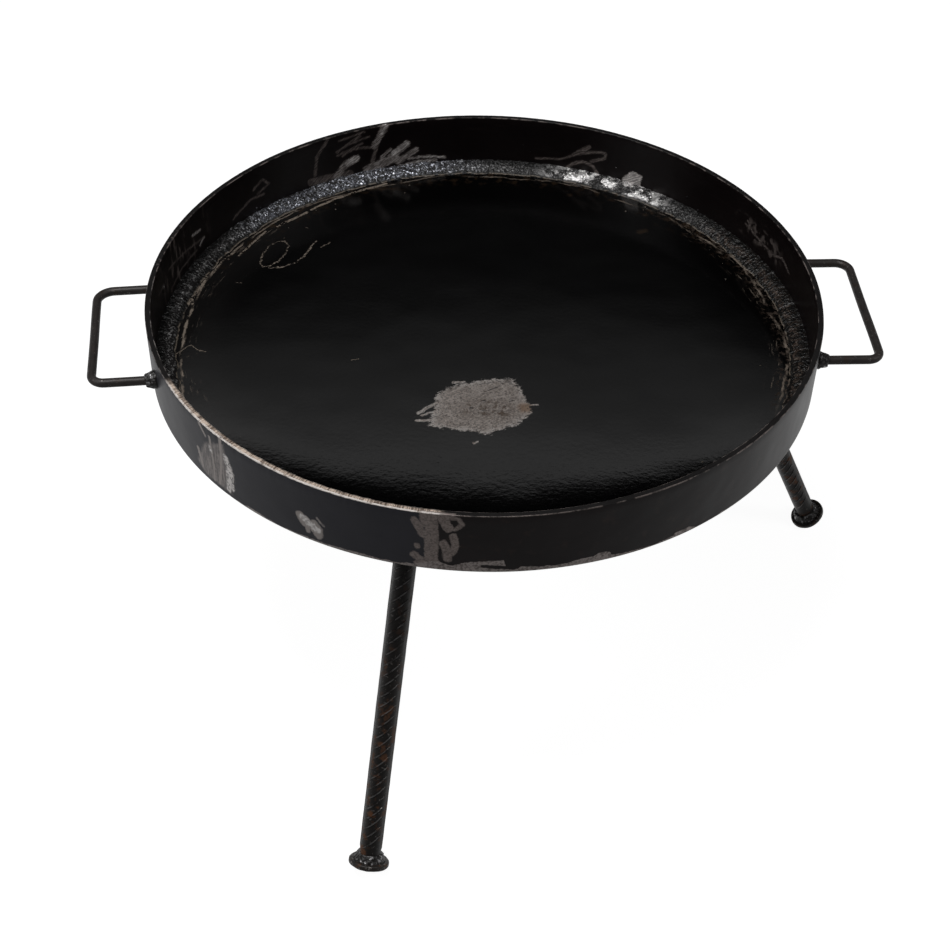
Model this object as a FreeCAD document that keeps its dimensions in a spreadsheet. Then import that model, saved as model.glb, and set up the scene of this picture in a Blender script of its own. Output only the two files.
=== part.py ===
"""Welded steel fire pan: a shallow round pan on three leaning legs, with two carrying handles.

Frame: +Z up, the ground at Z = 0, the pan's axis is Z. +X is to the right and -Y is the front.
Every size is a cell of the sheet, in millimetres and degrees, and every sub-part is bound to it.
"""

import FreeCAD
import Part
import Sketcher
import math
import os

# alias, value, what it is
DRIVING_SIZES = [
    ("pan_diameter", 600, "outside of the wall ring"),
    ("pan_height", 60, "underside of the floor plate to the rim"),
    ("rim_height", 375, "ground to the rim"),
    ("wall_thickness", 5, "strip of the wall ring"),
    ("floor_thickness", 4, "floor plate"),
    ("seam_gap", 4, "butt joint of the wall ring, filled with weld"),
    ("seam_azimuth", -97, "where the butt joint is"),
    ("corner_groove", 3, "each leg of the V between wall and floor plate, outside"),
    ("bead_width", 16, "inner floor weld, along the floor"),
    ("bead_height", 6, "inner floor weld, up the wall"),
    ("rod_diameter", 8, "handle rod"),
    ("handle_drop", 30, "rim to the centre of the handle rod"),
    ("handle_reach", 347, "pan axis to the centre of the handle's grip"),
    ("handle_bend", 12, "bend radius at the rod's centre"),
    ("handle_embed", 20, "length of rod that is cut back to fit the round wall"),
    ("right_handle_width", 148, "between the centres of the two arms"),
    ("right_handle_azimuth", 2.9, "middle of the grip"),
    ("left_handle_width", 134, "between the centres of the two arms"),
    ("left_handle_azimuth", -172.1, "middle of the grip"),
    ("handle_weld_leg", 5, "handle weld beyond the rod, along the wall"),
    ("handle_weld_length", 8, "handle weld, along the rod"),
    ("bar_diameter", 18.4, "leg's core, between the ribs"),
    ("rib_height", 0.8, "ribs stand this far out of the core"),
    ("rib_thickness", 1.6, "cross rib, square to itself"),
    ("rib_slant", 45, "cross rib against the bar's cross-section"),
    ("rib_pitch", 9.7, "cross rib to cross rib"),
    ("rib_count", 31, "cross ribs on a leg"),
    ("seam_rib_width", 2.2, "the two ribs that run along the bar"),
    ("plain_end", 13, "end of the leg where weld heat has taken the ribs away"),
    ("leg_top_radius", 228, "pan axis to the leg's centre at the floor plate"),
    ("foot_radius", 370, "pan axis to the foot disc's centre"),
    ("foot_diameter", 36, "foot disc"),
    ("foot_thickness", 5, "foot disc"),
    ("foot_rounding", 1.6, "edges of the foot disc"),
    ("foot_tilt", 32, "foot disc's axis from vertical: a little more than the leg's lean"),
    ("leg_weld_reach", 8, "leg weld beyond the bar, along the floor plate"),
    ("leg_weld_neck", 4.5, "leg weld beyond the bar, at its lower end"),
    ("leg_weld_drop", 6, "leg weld, down the leg"),
    ("foot_weld_reach", 5, "foot weld beyond the bar, along the disc"),
    ("foot_weld_neck", 1.5, "foot weld beyond the bar, at its upper end"),
    ("foot_weld_rise", 6, "foot weld, up the leg"),
]

# name of the leg and where it stands
LEGS = {"front": -104.2, "right": 15.8, "left": 135.8}

# Lengths and angles worked out from the sheet.
WALL_RADIUS = "sizes.pan_diameter / 2"
INNER_RADIUS = f"({WALL_RADIUS} - sizes.wall_thickness)"
BASE_HEIGHT = "(sizes.rim_height - sizes.pan_height)"
FLOOR_HEIGHT = f"({BASE_HEIGHT} + sizes.floor_thickness)"
SEAM_ANGLE = "(sizes.seam_gap / sizes.pan_diameter * 360 / pi)"
# A tilted disc stands on the rounding of its lower edge.
FOOT_HEIGHT = (
    "((sizes.foot_diameter / 2 - sizes.foot_rounding) * sin(sizes.foot_tilt)"
    " + (sizes.foot_thickness / 2 - sizes.foot_rounding) * cos(sizes.foot_tilt)"
    " + sizes.foot_rounding)"
)
LEG_SPREAD = "(sizes.foot_radius - sizes.leg_top_radius)"
LEG_RISE = f"({BASE_HEIGHT} - {FOOT_HEIGHT})"
LEG_LEAN = f"(atan2({LEG_SPREAD}; {LEG_RISE}) / 1deg)"
LEG_LENGTH = f"hypot({LEG_SPREAD}; {LEG_RISE})"
BAR_RADIUS = "sizes.bar_diameter / 2"
ROD_RADIUS = "sizes.rod_diameter / 2"

doc = FreeCAD.newDocument("fire_pan")


def write_sheet():
    """The sheet of driving sizes: name, value under the same alias, meaning."""
    sheet = doc.addObject("Spreadsheet::Sheet", "sizes")
    for row, (alias, value, meaning) in enumerate(DRIVING_SIZES, start=1):
        sheet.set(f"A{row}", alias)
        sheet.set(f"B{row}", str(value))
        sheet.setAlias(f"B{row}", alias)
        sheet.set(f"C{row}", meaning)
    doc.recompute()


def new_body(label):
    body = doc.addObject("PartDesign::Body", label)
    body.Label = label
    return body


def origin_feature(body, role):
    """The body's own origin plane or axis, such as XY_Plane or Z_Axis."""
    return next(f for f in body.Origin.OriginFeatures if f.Role == role)


def new_sketch(body, name, plane):
    sketch = body.newObject("Sketcher::SketchObject", name)
    sketch.AttachmentSupport = [(origin_feature(body, plane), "")]
    sketch.MapMode = "FlatFace"
    return sketch


def bind(target, bindings):
    """Binds each property of target to its expression."""
    for path, expression in bindings.items():
        target.setExpression(path, expression)


def fix_point(sketch, geometry, end, across, up):
    """Holds one point of the sketch at coordinates given as expressions."""
    spot = sketch.getPoint(geometry, end)
    for kind, drawn, expression in (("DistanceX", spot.x, across), ("DistanceY", spot.y, up)):
        index = sketch.addConstraint(Sketcher.Constraint(kind, geometry, end, drawn))
        sketch.setExpression(f"Constraints[{index}]", expression)


def draw_outline(sketch, corners):
    """Closed straight-sided outline whose corners are (across, up) pairs of expressions."""
    count = len(corners)
    spots = [
        FreeCAD.Vector(math.cos(2 * math.pi * i / count), math.sin(2 * math.pi * i / count), 0)
        for i in range(count)
    ]
    for i in range(count):
        sketch.addGeometry(Part.LineSegment(spots[i], spots[(i + 1) % count]))
    for i, (across, up) in enumerate(corners):
        sketch.addConstraint(Sketcher.Constraint("Coincident", i - 1 if i else count - 1, 2, i, 1))
        fix_point(sketch, i, 1, across, up)


def draw_circle(sketch, radius, across="0", up="0"):
    index = sketch.addGeometry(Part.Circle(FreeCAD.Vector(0, 0, 0), FreeCAD.Vector(0, 0, 1), 1.0))
    fix_point(sketch, index, 3, across, up)
    constraint = sketch.addConstraint(Sketcher.Constraint("Radius", index, 1.0))
    sketch.setExpression(f"Constraints[{constraint}]", radius)


def pad(body, sketch, length, midplane=False):
    feature = body.newObject("PartDesign::Pad", sketch.Name + "_pad")
    feature.Profile = sketch
    feature.SideType = "Symmetric" if midplane else "One side"
    feature.setExpression("Length", length)
    body.Tip = feature
    return feature


def pocket_both_ways(body, sketch, length):
    """Takes the outline away on both sides of its plane."""
    feature = body.newObject("PartDesign::Pocket", sketch.Name + "_pocket")
    feature.Profile = sketch
    feature.SideType = "Symmetric"
    feature.setExpression("Length", length)
    body.Tip = feature


def revolve(body, sketch, axis, angle="360"):
    feature = body.newObject("PartDesign::Revolution", sketch.Name + "_turned")
    feature.Profile = sketch
    feature.ReferenceAxis = axis
    feature.setExpression("Angle", angle)
    body.Tip = feature


def ring_of(label, corners, azimuth="0", sweep="360"):
    """Outline in the radial plane, turned about the pan's axis from azimuth through sweep."""
    body = new_body(label)
    bind(body, {"Placement.Rotation.Yaw": azimuth})
    outline = new_sketch(body, label + "_section", "XZ_Plane")
    draw_outline(outline, corners)
    revolve(body, outline, (origin_feature(body, "Z_Axis"), [""]), sweep)


# ---------------------------------------------------------------- pan


def make_floor_plate():
    """Flat disc whose upper edge is bevelled for the corner weld."""
    groove_radius = f"{WALL_RADIUS} - sizes.corner_groove"
    ring_of(
        "floor_plate",
        [
            ("0", BASE_HEIGHT),
            (WALL_RADIUS, BASE_HEIGHT),
            (WALL_RADIUS, f"{FLOOR_HEIGHT} - sizes.corner_groove"),
            (groove_radius, FLOOR_HEIGHT),
            ("0", FLOOR_HEIGHT),
        ],
    )


def make_wall_ring():
    """Strip rolled into a hoop, bevelled below for the corner weld, open at the butt joint."""
    ring_of(
        "wall_ring",
        [
            (INNER_RADIUS, FLOOR_HEIGHT),
            (f"{WALL_RADIUS} - sizes.corner_groove", FLOOR_HEIGHT),
            (WALL_RADIUS, f"{FLOOR_HEIGHT} + sizes.corner_groove"),
            (WALL_RADIUS, "sizes.rim_height"),
            (INNER_RADIUS, "sizes.rim_height"),
        ],
        azimuth=f"sizes.seam_azimuth + {SEAM_ANGLE} / 2",
        sweep=f"360 - {SEAM_ANGLE}",
    )


def make_wall_seam_weld():
    """Weld that fills the butt joint, ground flush with the strip."""
    ring_of(
        "wall_seam_weld",
        [
            (INNER_RADIUS, FLOOR_HEIGHT),
            (f"{WALL_RADIUS} - sizes.corner_groove", FLOOR_HEIGHT),
            (WALL_RADIUS, f"{FLOOR_HEIGHT} + sizes.corner_groove"),
            (WALL_RADIUS, "sizes.rim_height"),
            (INNER_RADIUS, "sizes.rim_height"),
        ],
        azimuth=f"sizes.seam_azimuth - {SEAM_ANGLE} / 2",
        sweep=SEAM_ANGLE,
    )


def make_outer_corner_weld():
    """Weld in the V between wall and floor plate, ground flush with both."""
    ring_of(
        "outer_corner_weld",
        [
            (f"{WALL_RADIUS} - sizes.corner_groove", FLOOR_HEIGHT),
            (WALL_RADIUS, f"{FLOOR_HEIGHT} - sizes.corner_groove"),
            (WALL_RADIUS, f"{FLOOR_HEIGHT} + sizes.corner_groove"),
        ],
    )


def make_inner_floor_weld():
    """Fillet bead between floor and wall, all the way round inside."""
    ring_of(
        "inner_floor_weld",
        [
            (INNER_RADIUS, FLOOR_HEIGHT),
            (INNER_RADIUS, f"{FLOOR_HEIGHT} + sizes.bead_height"),
            (f"{INNER_RADIUS} - sizes.bead_width", FLOOR_HEIGHT),
        ],
    )


# ---------------------------------------------------------------- handles


def place_on_wall(body, side):
    """Body's X axis then points out through the middle of that handle's grip."""
    bind(
        body,
        {
            "Placement.Rotation.Yaw": f"sizes.{side}_handle_azimuth",
            "Placement.Base.z": "sizes.rim_height - sizes.handle_drop",
        },
    )


def cope_to_wall(body):
    """Cuts away what would stand inside the round wall."""
    bore = new_sketch(body, body.Name + "_wall_face", "XY_Plane")
    draw_circle(bore, WALL_RADIUS)
    pocket_both_ways(body, bore, "8 * sizes.rod_diameter")


def make_handle(side):
    """Round rod bent to a flat U, its two ends coped to the wall."""
    body = new_body(f"{side}_handle")
    place_on_wall(body, side)
    half = f"sizes.{side}_handle_width / 2"
    bend = "sizes.handle_bend"
    root = f"{WALL_RADIUS} - sizes.handle_embed"

    route = new_sketch(body, f"{side}_handle_route", "XY_Plane")
    near, far, wide, straight = 280.0, 347.0, 70.0, 12.0
    vector = FreeCAD.Vector
    lines = [
        (vector(near, wide, 0), vector(far - straight, wide, 0)),
        (vector(far, wide - straight, 0), vector(far, straight - wide, 0)),
        (vector(far - straight, -wide, 0), vector(near, -wide, 0)),
    ]
    for start, end in lines:
        route.addGeometry(Part.LineSegment(start, end))
    quarter = math.pi / 2
    for up, start in ((wide - straight, 0.0), (straight - wide, -quarter)):
        circle = Part.Circle(vector(far - straight, up, 0), vector(0, 0, 1), straight)
        route.addGeometry(Part.ArcOfCircle(circle, start, start + quarter))
    for line, line_end, arc, arc_end in ((0, 2, 3, 2), (1, 1, 3, 1), (1, 2, 4, 2), (2, 1, 4, 1)):
        route.addConstraint(Sketcher.Constraint("Coincident", line, line_end, arc, arc_end))
    fix_point(route, 0, 1, root, half)
    fix_point(route, 0, 2, f"sizes.handle_reach - {bend}", half)
    fix_point(route, 1, 1, "sizes.handle_reach", f"{half} - {bend}")
    fix_point(route, 1, 2, "sizes.handle_reach", f"{bend} - {half}")
    fix_point(route, 2, 1, f"sizes.handle_reach - {bend}", f"-{half}")
    fix_point(route, 2, 2, root, f"-{half}")
    for arc in (3, 4):
        constraint = route.addConstraint(Sketcher.Constraint("Radius", arc, straight))
        route.setExpression(f"Constraints[{constraint}]", bend)

    section = new_sketch(body, f"{side}_handle_section", "YZ_Plane")
    bind(section, {"AttachmentOffset.Base.z": root})
    draw_circle(section, ROD_RADIUS, across=half)
    pipe = body.newObject("PartDesign::AdditivePipe", f"{side}_handle_rod")
    pipe.Profile = section
    pipe.Spine = (route, [])
    body.Tip = pipe
    cope_to_wall(body)


def make_handle_weld(side, end, sign):
    """Collar of weld round one end of the rod, against the wall."""
    body = new_body(f"{side}_handle_{end}_weld")
    place_on_wall(body, side)
    half = f"sizes.{side}_handle_width / 2"
    face = f"sqrt(({WALL_RADIUS}) ^ 2 - ({half}) ^ 2)"
    outline = new_sketch(body, body.Name + "_section", "XY_Plane")
    bind(outline, {"AttachmentOffset.Base.y": f"{sign} * {half}"})
    draw_outline(
        outline,
        [
            (f"{face} - sizes.handle_weld_leg", ROD_RADIUS),
            (f"{face} + sizes.handle_weld_length", ROD_RADIUS),
            (f"{face} + sizes.handle_weld_length / 2", f"{ROD_RADIUS} + 0.7 * sizes.handle_weld_leg"),
            (f"{face} - sizes.handle_weld_leg", f"{ROD_RADIUS} + sizes.handle_weld_leg"),
        ],
    )
    revolve(body, outline, (outline, ["H_Axis"]))
    cope_to_wall(body)


# ---------------------------------------------------------------- legs


def place_on_leg(target, azimuth, tilt, along=None):
    """Origin at the foot disc's centre, X outwards, Z leaning inwards by tilt; along moves it up Z."""
    shift = f"({along})" if along else "0"
    radius = f"(sizes.foot_radius - {shift} * sin({tilt}))"
    bind(
        target,
        {
            "Placement.Base.x": f"{radius} * cos({azimuth})",
            "Placement.Base.y": f"{radius} * sin({azimuth})",
            "Placement.Base.z": f"{FOOT_HEIGHT} + {shift} * cos({tilt})",
            "Placement.Rotation.Yaw": str(azimuth),
            "Placement.Rotation.Pitch": f"-({tilt})",
        },
    )


def cut_end(body, name, height, turn, low, high):
    """Cuts the bar off square to its radial plane, with an outline from low to high, turned by turn."""
    outline = new_sketch(body, f"{body.Name}_{name}", "XZ_Plane")
    bind(
        outline,
        {"AttachmentOffset.Base.y": height, "AttachmentOffset.Rotation.Angle": turn},
    )
    side = "2 * sizes.bar_diameter"
    draw_outline(outline, [(f"-{side}", low), (side, low), (side, high), (f"-{side}", high)])
    pocket_both_ways(body, outline, "3 * sizes.bar_diameter")


def make_leg(name, azimuth):
    """Ribbed bar, cut level under the floor plate and flat on its foot disc."""
    body = new_body(f"{name}_leg")
    place_on_leg(body, azimuth, LEG_LEAN)

    core = new_sketch(body, f"{name}_leg_core", "XY_Plane")
    bind(core, {"AttachmentOffset.Base.z": "-sizes.bar_diameter"})
    draw_circle(core, BAR_RADIUS)
    pad(body, core, f"{LEG_LENGTH} + 2 * sizes.bar_diameter")

    ribs = new_sketch(body, f"{name}_leg_seam_ribs", "XY_Plane")
    bind(ribs, {"AttachmentOffset.Base.z": "sizes.plain_end"})
    rib_width = "sizes.seam_rib_width / 2"
    rib_reach = f"{BAR_RADIUS} + sizes.rib_height"
    draw_outline(
        ribs,
        [
            (f"-{rib_width}", f"-({rib_reach})"),
            (rib_width, f"-({rib_reach})"),
            (rib_width, rib_reach),
            (f"-{rib_width}", rib_reach),
        ],
    )
    pad(body, ribs, f"{LEG_LENGTH} - 2 * sizes.plain_end")

    # A cross rib is a thin slanting oval: proud of the core towards X, run out towards Y.
    rib = new_sketch(body, f"{name}_leg_cross_rib", "XY_Plane")
    rib.AttachmentOffset = FreeCAD.Placement(
        FreeCAD.Vector(0, 0, 0), FreeCAD.Rotation(FreeCAD.Vector(-1, 0, 0), 1)
    )
    bind(
        rib,
        {
            "AttachmentOffset.Base.z": f"({LEG_LENGTH} - (sizes.rib_count - 1) * sizes.rib_pitch) / 2",
            "AttachmentOffset.Rotation.Angle": "sizes.rib_slant",
        },
    )
    vector = FreeCAD.Vector
    oval = rib.addGeometry(Part.Ellipse(vector(0, 13, 0), vector(10, 0, 0), vector(0, 0, 0)))
    rib.exposeInternalGeometry(oval)
    rib.addConstraint(Sketcher.Constraint("Coincident", oval, 3, -1, 1))
    rib.addConstraint(Sketcher.Constraint("Vertical", oval + 1))
    lengths = (
        (oval + 1, "sizes.bar_diameter / cos(sizes.rib_slant)"),
        (oval + 2, f"2 * ({rib_reach})"),
    )
    for line, length in lengths:
        constraint = rib.addConstraint(Sketcher.Constraint("Distance", line, 20.0))
        rib.setExpression(f"Constraints[{constraint}]", length)
    rib_pad = pad(body, rib, "sizes.rib_thickness", midplane=True)

    row = body.newObject("PartDesign::LinearPattern", f"{name}_leg_cross_ribs")
    row.Originals = [rib_pad]
    row.Direction = (origin_feature(body, "Z_Axis"), [""])
    bind(
        row,
        {"Length": "(sizes.rib_count - 1) * sizes.rib_pitch", "Occurrences": "sizes.rib_count"},
    )
    body.Tip = row

    far = "3 * sizes.bar_diameter"
    cut_end(body, "top", LEG_LENGTH, f"-{LEG_LEAN}", "0", far)
    cut_end(body, "bottom", "0", f"sizes.foot_tilt - {LEG_LEAN}", f"-{far}", "sizes.foot_thickness / 2")


def make_foot(name, azimuth):
    """Round disc with softened edges, on the end of the leg."""
    body = new_body(f"{name}_foot")
    place_on_leg(body, azimuth, "sizes.foot_tilt")
    outline = new_sketch(body, f"{name}_foot_outline", "XY_Plane")
    draw_circle(outline, "sizes.foot_diameter / 2")
    disc = pad(body, outline, "sizes.foot_thickness", midplane=True)
    doc.recompute()
    rims = [
        f"Edge{i}"
        for i, edge in enumerate(disc.Shape.Edges, start=1)
        if isinstance(edge.Curve, Part.Circle)
    ]
    rounding = body.newObject("PartDesign::Fillet", f"{name}_foot_rounding")
    rounding.Base = (disc, rims)
    bind(rounding, {"Radius": "sizes.foot_rounding"})
    body.Tip = rounding


def make_collar(label, cone_sizes, bar_turn):
    """Cone of weld round the bar, with the bar's own bore through it."""
    cone = doc.addObject("Part::Cone", label + "_cone")
    bind(cone, cone_sizes)
    bore = doc.addObject("Part::Cylinder", label + "_bore")
    bind(
        bore,
        {
            "Radius": BAR_RADIUS,
            "Height": "4 * sizes.bar_diameter",
            "Placement.Base.x": f"-2 * sizes.bar_diameter * sin({bar_turn})",
            "Placement.Base.z": f"-2 * sizes.bar_diameter * cos({bar_turn})",
            "Placement.Rotation.Pitch": bar_turn,
        },
    )
    collar = doc.addObject("Part::Cut", label)
    collar.Label = label
    collar.Base = cone
    collar.Tool = bore
    return collar


def make_foot_weld(name, azimuth):
    """Weld between the leg and the upper face of its foot disc."""
    weld = make_collar(
        f"{name}_foot_weld",
        {
            "Radius1": f"{BAR_RADIUS} + sizes.foot_weld_reach",
            "Radius2": f"{BAR_RADIUS} + sizes.foot_weld_neck",
            "Height": "sizes.foot_weld_rise",
            "Placement.Base.z": "sizes.foot_thickness / 2",
        },
        f"sizes.foot_tilt - {LEG_LEAN}",
    )
    place_on_leg(weld, azimuth, "sizes.foot_tilt")


def make_leg_weld(name, azimuth):
    """Weld between the leg and the underside of the floor plate."""
    weld = make_collar(
        f"{name}_leg_weld",
        {
            "Radius1": f"{BAR_RADIUS} + sizes.leg_weld_neck",
            "Radius2": f"{BAR_RADIUS} + sizes.leg_weld_reach",
            "Height": "sizes.leg_weld_drop",
            "Placement.Base.z": "-sizes.leg_weld_drop",
        },
        f"-{LEG_LEAN}",
    )
    bind(
        weld,
        {
            "Placement.Base.x": f"sizes.leg_top_radius * cos({azimuth})",
            "Placement.Base.y": f"sizes.leg_top_radius * sin({azimuth})",
            "Placement.Base.z": BASE_HEIGHT,
            "Placement.Rotation.Yaw": str(azimuth),
        },
    )


# ---------------------------------------------------------------- whole object


def sub_parts():
    """Objects that stand for a piece of their own: bodies and cuts."""
    kinds = ("PartDesign::Body", "Part::Cut")
    return [o for o in doc.Objects if o.TypeId in kinds]


def check_and_export():
    failed = [o.Name for o in doc.Objects if {"Invalid", "Error"} & set(o.State)]
    if failed:
        raise RuntimeError(f"did not compute: {failed}")
    for piece in sub_parts():
        shape = piece.Shape
        if shape.isNull() or not shape.isValid() or len(shape.Solids) != 1:
            raise RuntimeError(f"{piece.Label} is not one valid solid")
    os.makedirs("parts", exist_ok=True)
    for piece in sub_parts():
        piece.Shape.exportStep(f"parts/{piece.Label}.step")
        box = piece.Shape.optimalBoundingBox(True, False)
        print(f"{piece.Label:28s} {piece.Shape.Volume:12.1f} mm3  Z {box.ZMin:7.2f} to {box.ZMax:7.2f}")


def main():
    write_sheet()
    make_floor_plate()
    make_wall_ring()
    make_wall_seam_weld()
    make_outer_corner_weld()
    make_inner_floor_weld()
    for side in ("right", "left"):
        make_handle(side)
        make_handle_weld(side, "back" if side == "right" else "front", 1)
        make_handle_weld(side, "front" if side == "right" else "back", -1)
    for name, azimuth in LEGS.items():
        make_leg(name, azimuth)
        make_leg_weld(name, azimuth)
        make_foot(name, azimuth)
        make_foot_weld(name, azimuth)
    doc.recompute()
    check_and_export()


main()
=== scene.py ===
"""Welded steel fire pan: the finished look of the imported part.

Every piece stands where its CAD solid is. Lengths are metres in meshes and millimetres in finishes.
"""

import math

import bmesh
import bpy
from mathutils import Matrix, Vector, noise


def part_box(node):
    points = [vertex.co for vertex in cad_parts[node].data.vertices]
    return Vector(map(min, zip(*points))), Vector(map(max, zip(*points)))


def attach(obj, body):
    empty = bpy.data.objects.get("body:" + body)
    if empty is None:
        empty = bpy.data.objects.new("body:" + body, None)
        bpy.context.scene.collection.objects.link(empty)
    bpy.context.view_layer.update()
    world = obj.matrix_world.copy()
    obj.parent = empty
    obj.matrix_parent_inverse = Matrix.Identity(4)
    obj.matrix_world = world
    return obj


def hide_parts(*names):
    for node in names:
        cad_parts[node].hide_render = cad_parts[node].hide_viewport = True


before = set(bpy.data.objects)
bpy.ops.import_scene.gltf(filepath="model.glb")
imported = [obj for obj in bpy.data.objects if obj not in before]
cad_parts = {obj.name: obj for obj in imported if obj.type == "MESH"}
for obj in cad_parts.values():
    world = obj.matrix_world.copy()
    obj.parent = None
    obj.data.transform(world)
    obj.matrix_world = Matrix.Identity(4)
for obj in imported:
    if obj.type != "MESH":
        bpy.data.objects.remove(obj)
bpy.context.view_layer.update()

scene = bpy.context.scene
MM = 0.001

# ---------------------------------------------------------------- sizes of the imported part

PLATE_LOW, PLATE_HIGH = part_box("floor_plate")
WALL = PLATE_HIGH.x
BASE = PLATE_LOW.z
DECK = PLATE_HIGH.z
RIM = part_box("wall_ring")[1].z
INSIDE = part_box("inner_floor_weld")[1].x
BEAD_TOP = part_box("inner_floor_weld")[1].z
BEAD_TOE = 279 * MM
GROOVE_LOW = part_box("outer_corner_weld")[0].z
GROOVE_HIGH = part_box("outer_corner_weld")[1].z
GROOVE = GROOVE_HIGH - DECK
SEAM_AZIMUTH = -97.0
SEAM_GAP = 4 * MM
SEAM_SPAN = math.degrees(SEAM_GAP / WALL)
HANDLE_HEIGHT = (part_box("right_handle")[0].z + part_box("right_handle")[1].z) / 2
ROD = (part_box("right_handle")[1].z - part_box("right_handle")[0].z) / 2
HANDLE_REACH = 347 * MM
HANDLES = {"right": (2.9, 148 * MM), "left": (-172.1, 134 * MM)}
BENDS = {"right": (13 * MM, 11 * MM), "left": (11 * MM, 15 * MM)}
BAR = 9.2 * MM
RIB_PITCH = 9.7 * MM
RIB_COUNT = 31
LEG_TOP = 228 * MM
FOOT_OUT = 370 * MM
FOOT_UP = (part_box("front_foot")[0].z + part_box("front_foot")[1].z) / 2
FOOT_TILT = math.radians(32)
LEAN = math.atan2(FOOT_OUT - LEG_TOP, BASE - FOOT_UP)
LEG_LENGTH = math.hypot(FOOT_OUT - LEG_TOP, BASE - FOOT_UP)
FOOT_RADIUS = 18 * MM
FOOT_THICKNESS = 5 * MM
LEGS = {"front": -104.2, "right": 15.8, "left": 135.8}
SPINS = {"front": math.radians(8), "right": math.radians(70), "left": math.radians(150)}

# Heights and radii of the pan in millimetres, for its finishes.
TOP = RIM / MM
FLOOR = DECK / MM
BOTTOM = BASE / MM
OUTER = WALL / MM
INNER = INSIDE / MM


# ---------------------------------------------------------------- finishes: tools


class Amount:
    """A number that varies over a surface. Arithmetic on it adds Math nodes to its finish."""

    def __init__(self, finish, socket):
        self.finish = finish
        self.socket = socket

    def __add__(self, other):
        return self.finish.maths("ADD", self, other)

    __radd__ = __add__

    def __sub__(self, other):
        return self.finish.maths("SUBTRACT", self, other)

    def __rsub__(self, other):
        return self.finish.maths("SUBTRACT", other, self)

    def __mul__(self, other):
        return self.finish.maths("MULTIPLY", self, other)

    __rmul__ = __mul__

    def __truediv__(self, other):
        return self.finish.maths("DIVIDE", self, other)

    def __pow__(self, other):
        return self.finish.maths("POWER", self, other)

    def __abs__(self):
        return self.finish.maths("ABSOLUTE", self)


def socket_of(value):
    return value.socket if isinstance(value, Amount) else value


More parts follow.
